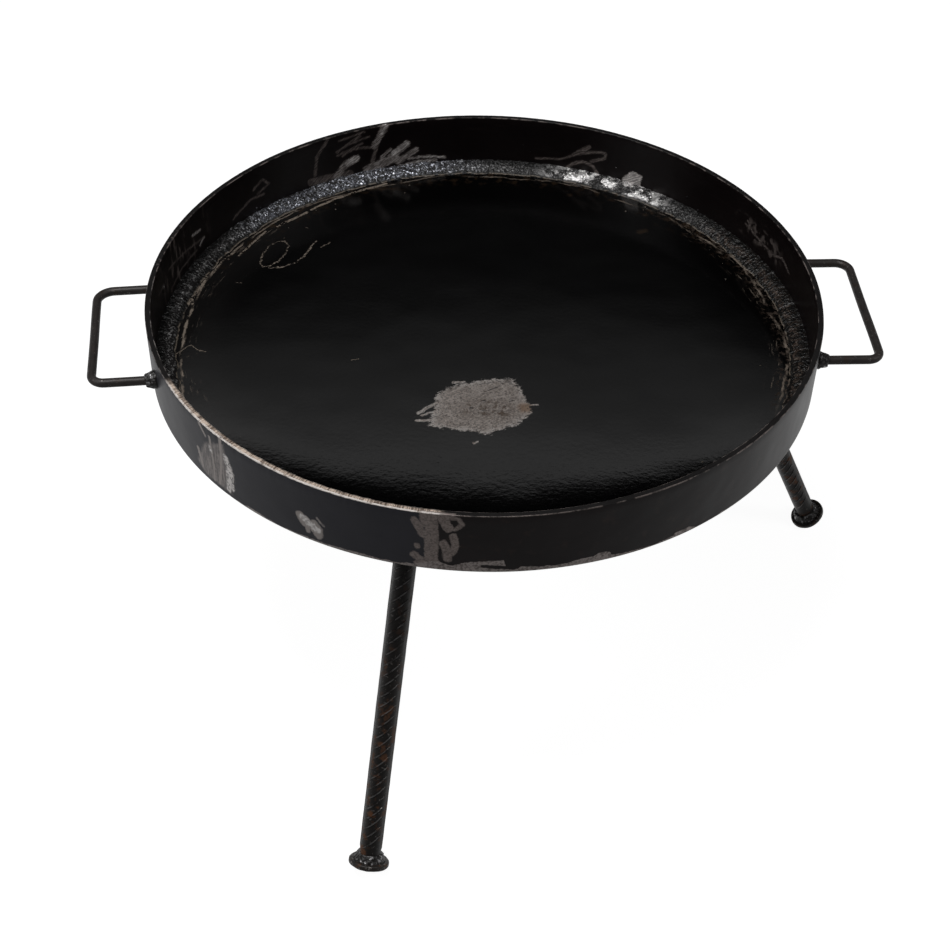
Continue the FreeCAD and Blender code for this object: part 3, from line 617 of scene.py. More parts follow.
def plate_scale():
    """The floor plate: glossy mill scale with a bare patch, tan toe lines, loops and specks."""
    paint = Finish("floor_plate_scale")
    flat = paint.vector(paint.x, paint.y, 0)
    shaky = paint.shaken(flat, 6.0, 2.2)
    nudged = paint.shaken(flat, 26.0, 3.0, detail=1.0)
    mottle = paint.grain(60, detail=5)
    speckle = paint.grain(1.8, detail=3)
    fine = paint.grain(0.9, detail=2, shift=3)
    upside = paint.ease(paint.z, FLOOR - 1.5, FLOOR - 0.8)
    colour = paint.mix(mottle, (0.0005, 0.0005, 0.0006, 1), (0.0013, 0.0012, 0.0013, 1))

    # Bare patch near the middle, scrubbed one way.
    scrub = Matrix.Rotation(math.radians(-32), 3, "Z")
    along = Amount(paint, paint.vector_maths("DOT_PRODUCT", flat, scrub.row[0], "Value"))
    across = Amount(paint, paint.vector_maths("DOT_PRODUCT", flat, scrub.row[1], "Value"))
    hair = paint.grain(1.1, at=paint.vector(along, across, 0), stretch=(9, 1, 1), detail=4)
    chips = paint.grain(5, at=flat, detail=6, rough=0.7, shift=4)
    depth = paint.within(shaky, PATCH) + (hair - 0.5) * 9.0 + (chips - 0.5) * 12.0
    patch = paint.ease(depth, -0.8, 1.4)
    spikes = paint.strokes(shaky, PATCH_SPIKES, 0.6)
    gaps = paint.strokes(shaky, PATCH_GAPS, 0.6)
    patch = paint.most(patch, spikes) * (1 - 0.85 * gaps)
    pits = paint.ease(paint.grain(1.9, at=flat, detail=3, shift=8), 0.57, 0.66)
    patch = patch * (1 - 0.65 * pits) * paint.ease(0.5 * hair + speckle, 0.36, 0.62)

    # A loop and an arc scratched next to each other, a few scratches and dark spots.
    loops = paint.strokes(paint.shaken(flat, 8.0, 2.2, detail=2.0), LOOPS, 0.5)
    faint_loops = paint.strokes(nudged, FAINT_LOOPS, 1.2)
    scratches = paint.strokes(shaky, SCRATCHES, 0.4)
    flecks = paint.ease(speckle + 0.6 * (chips - 0.5), 0.38, 0.58)
    tan = paint.most(loops * flecks, scratches * 0.8)
    spots = paint.strokes(shaky, DARK_SPOTS, 0.7)
    spots = paint.most(spots, faint_loops * 0.8)

    # Where the weld ends on the plate: thin tan lines and heat stains.
    slow = paint.grain(70, detail=2, shift=6)
    wander = paint.radius + (slow - 0.5) * 22 + (paint.grain(8, detail=4, shift=9) - 0.5) * 5
    to_left = paint.ease(paint.x, -110, -230)
    to_right = paint.ease(paint.x, 150, 230) * paint.ease(paint.y, -110, -60)
    at_back = paint.ease(paint.y, 60, 180)
    along_bead = paint.vector(paint.radius, paint.azimuth * TOE_STEP, 0)
    broken = paint.grain(16, at=along_bead, stretch=(0.5, 1, 1), detail=5, shift=2)
    toe = paint.ease(abs(wander - 274.0), 1.6, 0.4) * paint.ease(broken, 0.38, 0.60)
    wavy_bead = paint.shaken(along_bead, 14.0, 2.2)
    toe_runs = paint.strokes(wavy_bead, toe_strokes(TOE_RUNS), 0.6)
    strands = paint.grain(2.6, at=along_bead, stretch=(1, 9, 1), detail=4, shift=5)
    strands = paint.ease(strands, 0.56, 0.66) * paint.ease(paint.radius, 256, 268)
    strands = strands * paint.ease(broken, 0.45, 0.60)
    shown = paint.least(1.0, to_left + to_right + 0.55 * at_back)
    toe = paint.most(toe * shown, strands * paint.least(1.0, 0.5 * to_left + to_right) * 0.8)
    toe = paint.most(toe, toe_runs * paint.ease(speckle + 0.8 * (broken - 0.5), 0.36, 0.52))
    haze = to_left * paint.ease(wander, 222, 268) * (0.4 + 0.6 * mottle)
    heat = paint.ease(paint.radius + (mottle - 0.5) * 30, 252, 275) * at_back
    stains = heat * paint.ease(paint.grain(9, detail=5, shift=2), 0.50, 0.66)
    burns = paint.strokes(
        shaky, [(3.0, [(154, 176), (159, 178)]), (2.2, [(161, 207)]), (2.0, [(86, 241)])], 2.0
    )
    stains = paint.most(stains, 0.8 * burns)
    right_scurf = to_right * paint.ease(wander, 262, 274)
    right_scurf = right_scurf * paint.ease(paint.grain(5, detail=5, shift=1), 0.50, 0.62)

    colour = paint.mix(haze * 0.7, colour, (0.016, 0.015, 0.0148, 1))
    colour = paint.mix(stains * 0.8, colour, (0.030, 0.018, 0.010, 1))
    colour = paint.mix(right_scurf * 0.7, colour, (0.065, 0.045, 0.034, 1))
    colour = paint.mix(paint.most(tan, toe), colour, (0.25, 0.205, 0.165, 1))
    bright_grain = paint.ease(0.5 * hair + 0.6 * speckle + 0.5 * chips, 0.60, 0.98)
    steel = paint.mix(bright_grain, (0.34, 0.285, 0.255, 1), (0.95, 0.86, 0.80, 1))
    at_edge = paint.ease(depth, 8, 2) * paint.ease(chips, 0.40, 0.58)
    steel = paint.mix(at_edge * 0.7, steel, (1.0, 0.94, 0.90, 1))
    browned = paint.ease(paint.from_line(shaky, [(-6, -104), (16, -106)]), 20, 4)
    browned = browned * paint.ease(chips, 0.47, 0.57)
    steel = paint.mix(browned * 0.8, steel, (0.15, 0.095, 0.060, 1))
    tip = paint.ease(paint.from_line(shaky, [(38, -102)]), 10, 3)
    steel = paint.mix(tip * 0.8, steel, (0.50, 0.33, 0.22, 1))
    metal = patch * upside
    colour = paint.mix(metal, colour, steel)
    colour = paint.mix(spots, colour, (0.0012, 0.0012, 0.0012, 1))

    # Underside and edge: duller scale, rusted here and there; the lower edge is ground bright.
    below = paint.mix(mottle, (0.012, 0.0105, 0.010, 1), (0.028, 0.023, 0.021, 1))
    rust = paint.ease(paint.grain(30, detail=6, shift=5), 0.54, 0.68)
    below = paint.mix(rust * 0.6, below, (0.060, 0.026, 0.012, 1))
    colour = paint.mix(upside, below, colour)
    edge = paint.ease(paint.radius, OUTER - 1.1, OUTER - 0.5) * (1 - upside)
    edge = edge * paint.ease(paint.grain(14, detail=4), 0.30, 0.52)
    colour = paint.mix(edge, colour, (0.42, 0.39, 0.36, 1))
    metallic = paint.most(metal, edge * 0.9) * 0.9
    duller = 0.08 * paint.ease(paint.y, 20, 190)
    roughness = paint.blend(metal, 0.035 + 0.04 * mottle + 0.02 * fine + duller, 0.46)
    roughness = paint.blend(paint.most(toe, tan, right_scurf), roughness, 0.6)
    roughness = paint.blend(upside, 0.55, roughness)
    ripple = paint.grain(4.2, at=flat, stretch=(1.25, 1, 1), detail=2, rough=0.5)
    swell = paint.grain(60, at=flat, detail=1, shift=3)
    normal = paint.raised(swell, 0.20)
    # The weld pulls the plate down a little towards the wall.
    dished = (paint.most(paint.radius - 190, 0.0) / 100) ** 3
    normal = paint.raised(dished, -2.7, normal)
    at_front = paint.ease(paint.y, -115, -185)
    normal = paint.raised(ripple * (0.35 + 0.65 * at_front), 0.037, normal)
    normal = paint.raised(0.3 * speckle + 1.2 * metal * hair, 0.05, normal)
    return paint.done(colour, roughness, metallic, normal, gloss=0.5)


def bead_steel():
    """Weld round the inside: silver and bubbly at the back left, dark and rusty elsewhere."""
    paint = Finish("inner_bead_steel")
    bubbles = paint.pebbles(2.6)
    lumps = paint.grain(4.5, detail=4)
    fine = paint.grain(1.0, detail=3)
    mottle = paint.grain(12, detail=5, shift=3)
    silver_part = paint.ease(paint.azimuth, 84, 104) * paint.ease(paint.azimuth, 153, 138)
    blotch_part = paint.ease(paint.azimuth, 47, 55) * paint.ease(paint.azimuth, 81, 71)
    brown_part = paint.ease(abs(paint.azimuth - 6), 38, 26)
    dark = paint.mix(mottle, (0.0028, 0.0025, 0.0026, 1), (0.016, 0.014, 0.014, 1))
    brown = paint.mix(
        paint.ease(lumps, 0.46, 0.66), (0.0022, 0.0016, 0.0015, 1), (0.046, 0.030, 0.023, 1)
    )
    colour = paint.mix(brown_part, dark, brown)
    dusty = paint.ease(lumps + 0.5 * fine, 0.66, 0.92)
    colour = paint.mix(silver_part * dusty, colour, (0.09, 0.094, 0.11, 1))
    sparks = paint.ease(paint.grain(1.9, detail=2, shift=5), 0.535, 0.62)
    sparks = sparks * paint.ease(lumps, 0.36, 0.52)
    blotch = paint.ease(mottle + 0.4 * (fine - 0.5), 0.475, 0.515) * blotch_part
    metal = paint.most(sparks * (0.24 + 0.76 * silver_part), blotch)
    steel = paint.mix(silver_part, (0.96, 0.94, 0.93, 1), (0.82, 0.85, 0.95, 1))
    steel = paint.mix(brown_part, steel, (0.42, 0.33, 0.27, 1))
    colour = paint.mix(metal, colour, steel)
    shadowed = paint.ease(paint.z + 1.2 * (lumps - 0.5), FLOOR + 4.6, FLOOR + 6.0)
    shadowed = shadowed * (1 - paint.most(silver_part, blotch_part))
    colour = paint.mix(shadowed * 0.85, colour, (0.002, 0.0018, 0.0018, 1))
    metal = metal * (1 - shadowed)
    low_reach = 1.3 * paint.ease(paint.azimuth, 140, 154) + 0.7 * brown_part
    low = paint.ease(paint.z - low_reach + 1.4 * (lumps - 0.5), FLOOR + 2.1, FLOOR + 1.1)
    colour = paint.mix(low * 0.92, colour, (0.003, 0.0026, 0.0024, 1))
    metal = metal * (1 - low)
    toe = paint.ease(paint.z, FLOOR + 1.0, FLOOR + 0.2)
    toe = toe * paint.ease(paint.grain(7, detail=4, shift=4), 0.42, 0.54)
    colour = paint.mix(toe * 0.9, colour, (0.20, 0.165, 0.13, 1))
    roughness = 0.26 + 0.2 * mottle
    normal = paint.raised(0.8 * (1 - bubbles) + 0.5 * fine, 0.9)
    return paint.done(colour, roughness, metal * 0.95, normal)


def handle_rod_steel():
    """Drawn rod: dull dark scale with a brown bloom."""
    paint = Finish("handle_rod_scale")
    mottle = paint.grain(14, detail=5)
    fine = paint.grain(0.7, detail=3)
    colour = paint.mix(mottle, (0.024, 0.021, 0.0205, 1), (0.070, 0.060, 0.056, 1))
    bloom = paint.ease(paint.grain(9, detail=5, shift=4), 0.56, 0.70)
    colour = paint.mix(bloom * 0.6, colour, (0.052, 0.030, 0.019, 1))
    rubbed = paint.ease(paint.grain(3, detail=4, shift=8), 0.63, 0.70)
    colour = paint.mix(rubbed, colour, (0.28, 0.26, 0.25, 1))
    normal = paint.raised(fine + 0.5 * mottle, 0.10)
    return paint.done(colour, 0.38 + 0.14 * mottle, 0.25 + 0.6 * rubbed, normal)


def ribbed_bar_steel():
    """Reinforcing bar: dark scale, rust in the hollows, mostly low down."""
    paint = Finish("ribbed_bar_scale")
    mottle = paint.grain(8, detail=5)
    fine = paint.grain(0.8, detail=3)
    colour = paint.mix(mottle, (0.0045, 0.0040, 0.0036, 1), (0.022, 0.018, 0.016, 1))
    off_axis = None
    for azimuth in LEGS.values():
        turn = Matrix.Rotation(math.radians(azimuth), 3, "Z")
        foot = turn @ Vector((FOOT_OUT, 0, FOOT_UP)) / MM
        run = turn @ Vector((LEG_TOP - FOOT_OUT, 0, BASE - FOOT_UP))
        offset = paint.vector_maths("SUBTRACT", paint.place, foot)
        sideways = paint.vector_maths("CROSS_PRODUCT", offset, run.normalized())
        away = Amount(paint, paint.vector_maths("LENGTH", sideways, (0, 0, 0), "Value"))
        off_axis = away if off_axis is None else paint.least(off_axis, away)
    crest = paint.ease(off_axis, BAR / MM + 0.30, BAR / MM + 0.75)
    low = paint.ease(paint.z, 290, 60)
    patches = paint.ease(paint.grain(9, detail=6, shift=6) + 0.06 * low, 0.56, 0.70)
    rust = paint.mix(paint.grain(2, detail=4, shift=2), (0.050, 0.018, 0.007, 1), (0.26, 0.105, 0.040, 1))
    colour = paint.mix(patches * (0.12 + 0.6 * low), colour, rust)
    rubbed = paint.ease(paint.grain(2.4, detail=4, shift=3), 0.62, 0.70)
    colour = paint.mix(rubbed * (1 - patches), colour, (0.20, 0.185, 0.175, 1))
    # Rib crests: partly bare steel rubbed on the crests, partly a painted highlight that makes the ribs
    # read as lit ridges.
    worn = crest * paint.ease(paint.grain(6, detail=4, shift=11), 0.38, 0.60)
    colour = paint.mix(worn * 0.85, colour, (0.24, 0.235, 0.235, 1))
    # Painted shade: the top of the bar, under the pan, is darkened to near black, and its crests show no
    # metal there.
    painted_pan_shade = paint.ease(paint.z, 262, 300)
    colour = paint.mix(painted_pan_shade * 0.92, colour, (0.0016, 0.0014, 0.0014, 1))
    normal = paint.raised(fine + mottle, 0.16)
    metal = paint.most(rubbed * (1 - patches), worn * (1 - painted_pan_shade))
    return paint.done(colour, 0.40 + 0.2 * patches, 0.1 + 0.6 * metal, normal)


def foot_steel():
    """Foot discs: scaled, rusty round the weld, rubbed at the edges."""
    paint = Finish("foot_disc_scale")
    mottle = paint.grain(7, detail=5)
    fine = paint.grain(0.8, detail=3)
    colour = paint.mix(mottle, (0.012, 0.010, 0.0095, 1), (0.055, 0.046, 0.041, 1))
    rust = paint.ease(paint.grain(8, detail=5, shift=2), 0.52, 0.66)
    colour = paint.mix(rust * 0.75, colour, (0.11, 0.052, 0.026, 1))
    rubbed = paint.ease(paint.grain(2.6, detail=4, shift=7), 0.58, 0.66)
    colour = paint.mix(rubbed, colour, (0.42, 0.39, 0.37, 1))
    normal = paint.raised(fine + mottle, 0.25)
    return paint.done(colour, 0.42 + 0.15 * rust, 0.15 + 0.8 * rubbed, normal)


def weld_steel():
    """Short welds: dark glassy slag with silver showing through."""
    paint = Finish("short_weld_steel")
    mottle = paint.grain(3.5, detail=4)
    fine = paint.grain(0.8, detail=3)
    colour = paint.mix(mottle, (0.006, 0.0055, 0.0055, 1), (0.035, 0.031, 0.029, 1))
    silver = paint.ease(mottle + 0.3 * fine, 0.68, 0.86)
    colour = paint.mix(silver, colour, (0.58, 0.57, 0.58, 1))
    normal = paint.raised(fine, 0.35)
    return paint.done(colour, 0.26 + 0.15 * mottle, silver * 0.95, normal)


STRIP_SCALE = rolled_strip()
PLATE_SCALE = plate_scale()
BEAD_STEEL = bead_steel()
ROD_SCALE = handle_rod_steel()
BAR_SCALE = ribbed_bar_steel()
FOOT_SCALE = foot_steel()
WELD_STEEL = weld_steel()


# ---------------------------------------------------------------- meshes: tools


def put_up(shape, name, finish, slot, *nodes, crease=38.0):
    """Makes the shape a shown piece that stands for its CAD nodes."""
    bmesh.ops.remove_doubles(shape, verts=shape.verts, dist=2e-6)
    bmesh.ops.recalc_face_normals(shape, faces=shape.faces)
    mesh = bpy.data.meshes.new(name)
    shape.to_mesh(mesh)
    shape.free()
    mesh.shade_smooth()
    mesh.set_sharp_from_angle(angle=math.radians(crease))
    mesh.materials.append(finish)
    piece = bpy.data.objects.new(name, mesh)
    scene.collection.objects.link(piece)
    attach(piece, "root")
    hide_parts(*nodes)
    return piece


def middle_of(edge):
    return (edge.verts[0].co + edge.verts[1].co) / 2


def turned(corners, steps, first=0.0, sweep=360.0, closed=True, rounded=(), divided=()):
    """Outline of (radius, height) corners turned about Z.

    rounded is (corner, radius, segments) and divided is (side, cuts).
    """
    shape = bmesh.new()
    spots = [shape.verts.new((radius, 0, height)) for radius, height in corners]
    ends = spots[1:] + spots[:1] if closed else spots[1:]
    middles = []
    for start, end in zip(spots, ends):
        shape.edges.new((start, end))
        middles.append((start.co + end.co) / 2)
    for corner, radius, segments in rounded:
        place = Vector((corners[corner][0], 0, corners[corner][1]))
        bmesh.ops.bevel(
            shape,
            geom=[min(shape.verts, key=lambda vert: (vert.co - place).length)],
            offset=radius,
            segments=segments,
            profile=0.5,
            affect="VERTICES",
            material=-1,
        )
    for side, cuts in divided:
        middle = middles[side]
        nearest = min(shape.edges, key=lambda edge: (middle_of(edge) - middle).length)
        bmesh.ops.subdivide_edges(shape, edges=[nearest], cuts=cuts)
    turn_all(shape, shape.verts, math.radians(first))
    # A wide turn is built from doubled copies of a short one, which is much quicker.
    whole = sweep == 360.0
    folds = 0
    while steps % 2 == 0 and steps > 100:
        steps //= 2
        folds += 1
    angle = math.radians(sweep) / 2**folds
    bmesh.ops.spin(
        shape,
        geom=shape.verts[:] + shape.edges[:],
        cent=(0, 0, 0),
        axis=(0, 0, 1),
        angle=angle,
        steps=steps,
        use_merge=whole and not folds,
    )
    for _ in range(folds):
        turn_all(shape, copied(shape), angle)
        angle *= 2
    bmesh.ops.remove_doubles(shape, verts=shape.verts, dist=2e-6)
    if not whole:
        open_edges = [edge for edge in shape.edges if edge.is_boundary]
        bmesh.ops.holes_fill(shape, edges=open_edges, sides=0)
    return shape


def turn_all(shape, verts, angle):
    matrix = Matrix.Rotation(angle, 3, "Z")
    bmesh.ops.rotate(shape, verts=verts, cent=(0, 0, 0), matrix=matrix)


def copied(shape):
    """Copies the whole shape in place and returns the copy's points."""
    geom = shape.verts[:] + shape.edges[:] + shape.faces[:]
    made = bmesh.ops.duplicate(shape, geom=geom)["geom"]
    return [part for part in made if isinstance(part, bmesh.types.BMVert)]


def take_in(shape, other):
    """Adds the other shape to this one."""
    carrier = bpy.data.meshes.new("carrier")
    other.to_mesh(carrier)
    other.free()
    shape.from_mesh(carrier)
    bpy.data.meshes.remove(carrier)


def ramp_up(value, start, end):
    """0 at start, 1 at end, smooth in between."""
    share = min(1.0, max(0.0, (value - start) / (end - start)))
    return share * share * (3 - 2 * share)


def jitter(point, size, shift=0.0):
    """Random number from -1 to 1 that varies over that size."""
    return noise.noise(point / size + Vector((shift, shift * 2, shift * 3)))


def roll_uneven(shape):
    """The unevenness of a hand-rolled hoop and of a plate pulled by its welds."""
    for vert in shape.verts:
        place = vert.co
        flat = Vector((place.x, place.y, 0))
        radius = flat.length
        if radius < MM:
            continue
        out = flat / radius
        near_wall = ramp_up(radius, 0.24, 0.295)
        up = ramp_up(place.z, DECK, RIM)
        swell = 0.45 * MM * jitter(out, 0.9, 1.0) + 0.12 * MM * jitter(out, 0.17, 2.0)
        lift = 0.35 * MM * jitter(out, 0.7, 3.0) * up
        place += out * swell * near_wall
        place.z += lift


# ---------------------------------------------------------------- pan


def build_floor():
    """Disc with a softened lower edge and a groove for the corner weld, pulled a little by the welds."""
    shape = turned(
        [
            (0, BASE),
            (WALL, BASE),
            (WALL, GROOVE_LOW),
            (WALL - GROOVE, DECK),
            (0, DECK),
        ],
        steps=480,
        rounded=[(1, 0.7 * MM, 3)],
        closed=False,
        divided=[(0, 11), (3, 23)],
    )
    for vert in shape.verts:
        radius = math.hypot(vert.co.x, vert.co.y)
        inner = 1 - ramp_up(radius, 0.20, 0.275)
        spot = Vector((vert.co.x, vert.co.y, 0))
        vert.co.z += inner * 0.25 * MM * jitter(spot, 0.14, 5.0)
    roll_uneven(shape)
    put_up(shape, "floor_disc", PLATE_SCALE, "plate_steel", "floor_plate")


def cut_rim(shape):
    """The torch left small teeth along part of the rim; the rest is only a little worn."""
    for vert in shape.verts:
        place = vert.co
        if place.z < RIM - 1.4 * MM:
            continue
        azimuth = math.degrees(math.atan2(place.y, place.x))
        torch = ramp_up(azimuth, -152, -149) * (1 - ramp_up(azimuth, -97, -95))
        out = Vector((place.x, place.y, 0)).normalized()
        outer = ramp_up(math.hypot(place.x, place.y), INSIDE, WALL)
        teeth = jitter(out, 0.008, 7.0) + 0.6 * jitter(out, 0.02, 8.0)
        place.z += (0.10 + 0.32 * torch) * MM * teeth
        place += out * (outer - 0.3) * (0.06 + 0.42 * torch) * MM * jitter(out, 0.009, 9.0)


def build_wall():
    """Hoop of flat strip, open at its butt joint, with softened rim."""
    shape = turned(
        [
            (INSIDE, DECK),
            (WALL - GROOVE, DECK),
            (WALL, GROOVE_HIGH),
            (WALL, RIM),
            (INSIDE, RIM),
        ],
        steps=1200,
        first=SEAM_AZIMUTH + SEAM_SPAN / 2,
        sweep=360 - SEAM_SPAN,
        rounded=[(3, 0.6 * MM, 3), (4, 0.6 * MM, 3)],
        divided=[(2, 6), (3, 2), (4, 6)],
    )
    cut_rim(shape)
    roll_uneven(shape)
    put_up(shape, "wall_hoop", STRIP_SCALE, "plate_steel", "wall_ring")


def build_seam():
    """Weld in the butt joint: ground flush outside, a low rippled run inside."""
    shape = turned(
        [
            (INSIDE, DECK),
            (WALL - GROOVE, DECK),
            (WALL, GROOVE_HIGH),
            (WALL, RIM),
            (INSIDE, RIM),
        ],
        steps=14,
        first=SEAM_AZIMUTH - SEAM_SPAN * 0.8,
        sweep=SEAM_SPAN * 1.6,
        rounded=[(3, 0.6 * MM, 3), (4, 0.6 * MM, 3)],
        divided=[(2, 40), (3, 2), (4, 60)],
    )
    half = math.radians(SEAM_SPAN * 0.8)
    for vert in shape.verts:
        place = vert.co
        radius = math.hypot(place.x, place.y)
        out = Vector((place.x, place.y, 0)) / radius
        side = (math.atan2(place.y, place.x) - math.radians(SEAM_AZIMUTH)) / half
        crown = max(0.0, 1 - side * side)
        if radius < INSIDE + 0.3 * MM and place.z < RIM - MM:
            ripple = 0.5 + 0.5 * math.sin((place.z / MM + 2.2 * side * side) * 2 * math.pi / 2.6)
            rise = crown * (0.9 + 0.35 * ripple + 0.3 * jitter(place, 0.004, 2.0)) - 0.25
            place -= out * rise * MM
        elif radius > WALL - 0.3 * MM:
            place += out * (0.10 * crown * (1 + jitter(place, 0.006, 4.0)) - 0.04) * MM
    cut_rim(shape)
    roll_uneven(shape)
    put_up(shape, "seam_weld", STRIP_SCALE, "ground_steel", "wall_seam_weld")


def build_corner_weld():
    """Weld between wall and plate, ground to the wall's outside, with small flats and dips."""
    shape = turned(
        [
            (WALL - GROOVE, DECK),
            (WALL, GROOVE_LOW),
            (WALL, GROOVE_HIGH),
        ],
        steps=1200,
        divided=[(1, 4)],
    )
    for vert in shape.verts:
        place = vert.co
        if math.hypot(place.x, place.y) < WALL - 0.2 * MM:
            continue
        out = Vector((place.x, place.y, 0)).normalized()
        middle = 1 - ramp_up(abs(place.z - DECK), 1.2 * MM, 3 * MM)
        place += out * middle * MM * (0.10 * jitter(out, 0.02, 1.0) + 0.06 * jitter(out, 0.006, 2.0))
    roll_uneven(shape)
    put_up(shape, "corner_weld", STRIP_SCALE, "ground_steel", "outer_corner_weld")


def bead_relief(place, out, azimuth):
    """Height of the bead's ripples and lumps, in millimetres."""
    silver = ramp_up(azimuth, 86, 100) * (1 - ramp_up(azimuth, 146, 160))
    blotch = ramp_up(azimuth, 46, 56) * (1 - ramp_up(azimuth, 78, 86))
    along = azimuth * 5.15
    spacing = 4.3
    ripple = math.sin(along / spacing * 2 * math.pi + noise.noise(out * 14) * 4.5)
    lumps = jitter(place, 0.0065, 3.0) + 0.6 * jitter(place, 0.003, 4.0)
    return (0.22 - 0.1 * silver) * ripple + (0.65 + 0.35 * silver + 0.6 * blotch) * lumps


def build_bead():
    """Stick-welded fillet all the way round inside, wider and narrower as the hand went."""
    shape = turned(
        [
            (INSIDE + 0.4 * MM, DECK - 0.3 * MM),
            (BEAD_TOE, DECK - 0.3 * MM),
            (INSIDE + 0.4 * MM, BEAD_TOP),
        ],
        steps=1536,
        divided=[(1, 14)],
    )
    slope = Vector((INSIDE - BEAD_TOE, 0, BEAD_TOP - DECK)).normalized()
    for vert in shape.verts:
        place = vert.co
        radius = math.hypot(place.x, place.y)
        out = Vector((place.x, place.y, 0)) / radius
        share = (radius - BEAD_TOE) / (INSIDE + 0.4 * MM - BEAD_TOE)
        on_face = place.z > DECK - 0.2 * MM or share < 0.02
        if not on_face:
            continue
        azimuth = math.degrees(math.atan2(place.y, place.x))
        crown = math.sin(math.pi * min(1.0, max(0.0, share)))
        normal = out * -slope.z + Vector((0, 0, slope.x))
        rise = crown * (1.3 + bead_relief(place, out, azimuth)) * MM
        place += normal * rise
        inward = 1.2 + 2.2 * jitter(out, 0.05, 6.0) + 1.2 * jitter(out, 0.015, 7.0)
        place -= out * (1 - share) * inward * MM
        place.z += share * (0.8 + 1.1 * jitter(out, 0.04, 8.0) + 0.9 * jitter(out, 0.011, 9.0)) * MM
    scatter_spatter(shape)
    put_up(shape, "inner_bead", BEAD_STEEL, "weld_metal", "inner_floor_weld", crease=60)


def scatter_spatter(shape):
    """Small balls of spatter on the plate and wall beside the bead."""
    balls = bmesh.new()
    for index in range(70):
        draw = [noise.cell(Vector((index + 0.5, salt + 0.5, 2.5))) for salt in range(4)]
        azimuth = math.radians(360 * draw[0])
        size = (0.35 + 0.6 * draw[1] ** 2) * MM
        if index % 3:
            radius = 0.275 - 0.03 * draw[2] ** 2
            height = DECK
            flatten = (1, 1, 0.7)
        else:
            radius = INSIDE
            height = DECK + (0.009 + 0.02 * draw[2] ** 2)
            flatten = (1, 1, 1)
        ball = bmesh.ops.create_icosphere(balls, subdivisions=2, radius=size)["verts"]
        bmesh.ops.scale(balls, verts=ball, vec=flatten)
        spot = (radius * math.cos(azimuth), radius * math.sin(azimuth), height)
        bmesh.ops.translate(balls, verts=ball, vec=spot)
    take_in(shape, balls)


# ---------------------------------------------------------------- handles


def extrude_run(shape, ring, step):
    made = bmesh.ops.extrude_edge_only(shape, edges=ring)["geom"]
    verts = [part for part in made if isinstance(part, bmesh.types.BMVert)]
    bmesh.ops.translate(shape, verts=verts, vec=step)
    return [part for part in made if isinstance(part, bmesh.types.BMEdge) and is_ring(part, verts)]


def is_ring(edge, verts):
    return edge.verts[0] in verts and edge.verts[1] in verts


def extrude_bend(shape, ring, centre, angle):
    verts = list({vert for edge in ring for vert in edge.verts})
    made = bmesh.ops.spin(
        shape,
        geom=verts + ring,
        cent=centre,
        axis=(0, 0, 1),
        angle=angle,
        steps=12,
        use_merge=False,
    )["geom_last"]
    return [part for part in made if isinstance(part, bmesh.types.BMEdge)]


def build_handle(side, azimuth, width, bends):
    """Rod bent to a flat U; each bend has the radius the bender left."""
    root = WALL - 13.5 * MM
    half = width / 2
    shape = bmesh.new()
    circle = bmesh.ops.create_circle(shape, segments=20, radius=ROD)["verts"]
    stand = Matrix.Rotation(math.radians(90), 3, "Y")
    bmesh.ops.rotate(shape, verts=circle, cent=(0, 0, 0), matrix=stand)
    bmesh.ops.translate(shape, verts=circle, vec=(root, half, 0))
    ring = shape.edges[:]
    first, second = bends
    straight = HANDLE_REACH - first - root
    for _ in range(4):
        ring = extrude_run(shape, ring, (straight / 4, 0, 0))
    ring = extrude_bend(shape, ring, (HANDLE_REACH - first, half - first, 0), -math.pi / 2)
    for _ in range(8):
        ring = extrude_run(shape, ring, (0, (first + second - width) / 8, 0))
    ring = extrude_bend(shape, ring, (HANDLE_REACH - second, second - half, 0), -math.pi / 2)
    straight = HANDLE_REACH - second - root
    for _ in range(4):
        ring = extrude_run(shape, ring, (-straight / 4, 0, 0))
    ends = [edge for edge in shape.edges if edge.is_boundary]
    bmesh.ops.holes_fill(shape, edges=ends, sides=0)
    for vert in shape.verts:
        vert.co.z += 0.5 * MM * jitter(vert.co, 0.08, 3.0)
        vert.co.x += 0.4 * MM * jitter(vert.co, 0.07, 4.0)
    place = Matrix.Translation((0, 0, HANDLE_HEIGHT)) @ Matrix.Rotation(math.radians(azimuth), 4, "Z")
    bmesh.ops.transform(shape, verts=shape.verts, matrix=place)
    put_up(shape, f"{side}_rod", ROD_SCALE, "handle_rod", f"{side}_handle", crease=50)


def collar(inner, reach, neck, length, steps=56):
    """Lumpy ring of weld about Z: wide at its base at Z = 0, narrow at its far end."""
    shape = turned(
        [
            (inner * 0.6, -1.0 * MM),
            (reach, -1.0 * MM),
            (reach, 0),
            (neck, length),
            (inner * 0.6, length),
        ],
        steps=steps,
        divided=[(0, 1), (2, 10), (3, 2)],
        rounded=[(2, 0.8 * MM, 2), (3, 0.8 * MM, 2)],
    )
    return shape


def lump(shape, inner, ripples, depth, shift, heavy=None):
    """Swells the ring outwards in overlapping drops; heavy is a direction with more metal."""
    for vert in shape.verts:
        place = vert.co
        radius = math.hypot(place.x, place.y)
        if radius < inner * 1.02 or place.z < -0.5 * MM:
            continue
        out = Vector((place.x, place.y, 0)) / radius
        angle = math.atan2(place.y, place.x)
        drop = abs(math.sin(angle * ripples / 2 + 0.8 * place.z / MM / ripples))
        swell = 0.45 * drop + 0.55 * jitter(place, 0.0045, shift)
        swell += 0.35 * jitter(place, 0.0018, shift + 3)
        if heavy is not None:
            swell += 1.1 * max(0.0, out.dot(heavy)) ** 2
        place += (out * 0.8 + Vector((0, 0, 0.45))) * swell * depth


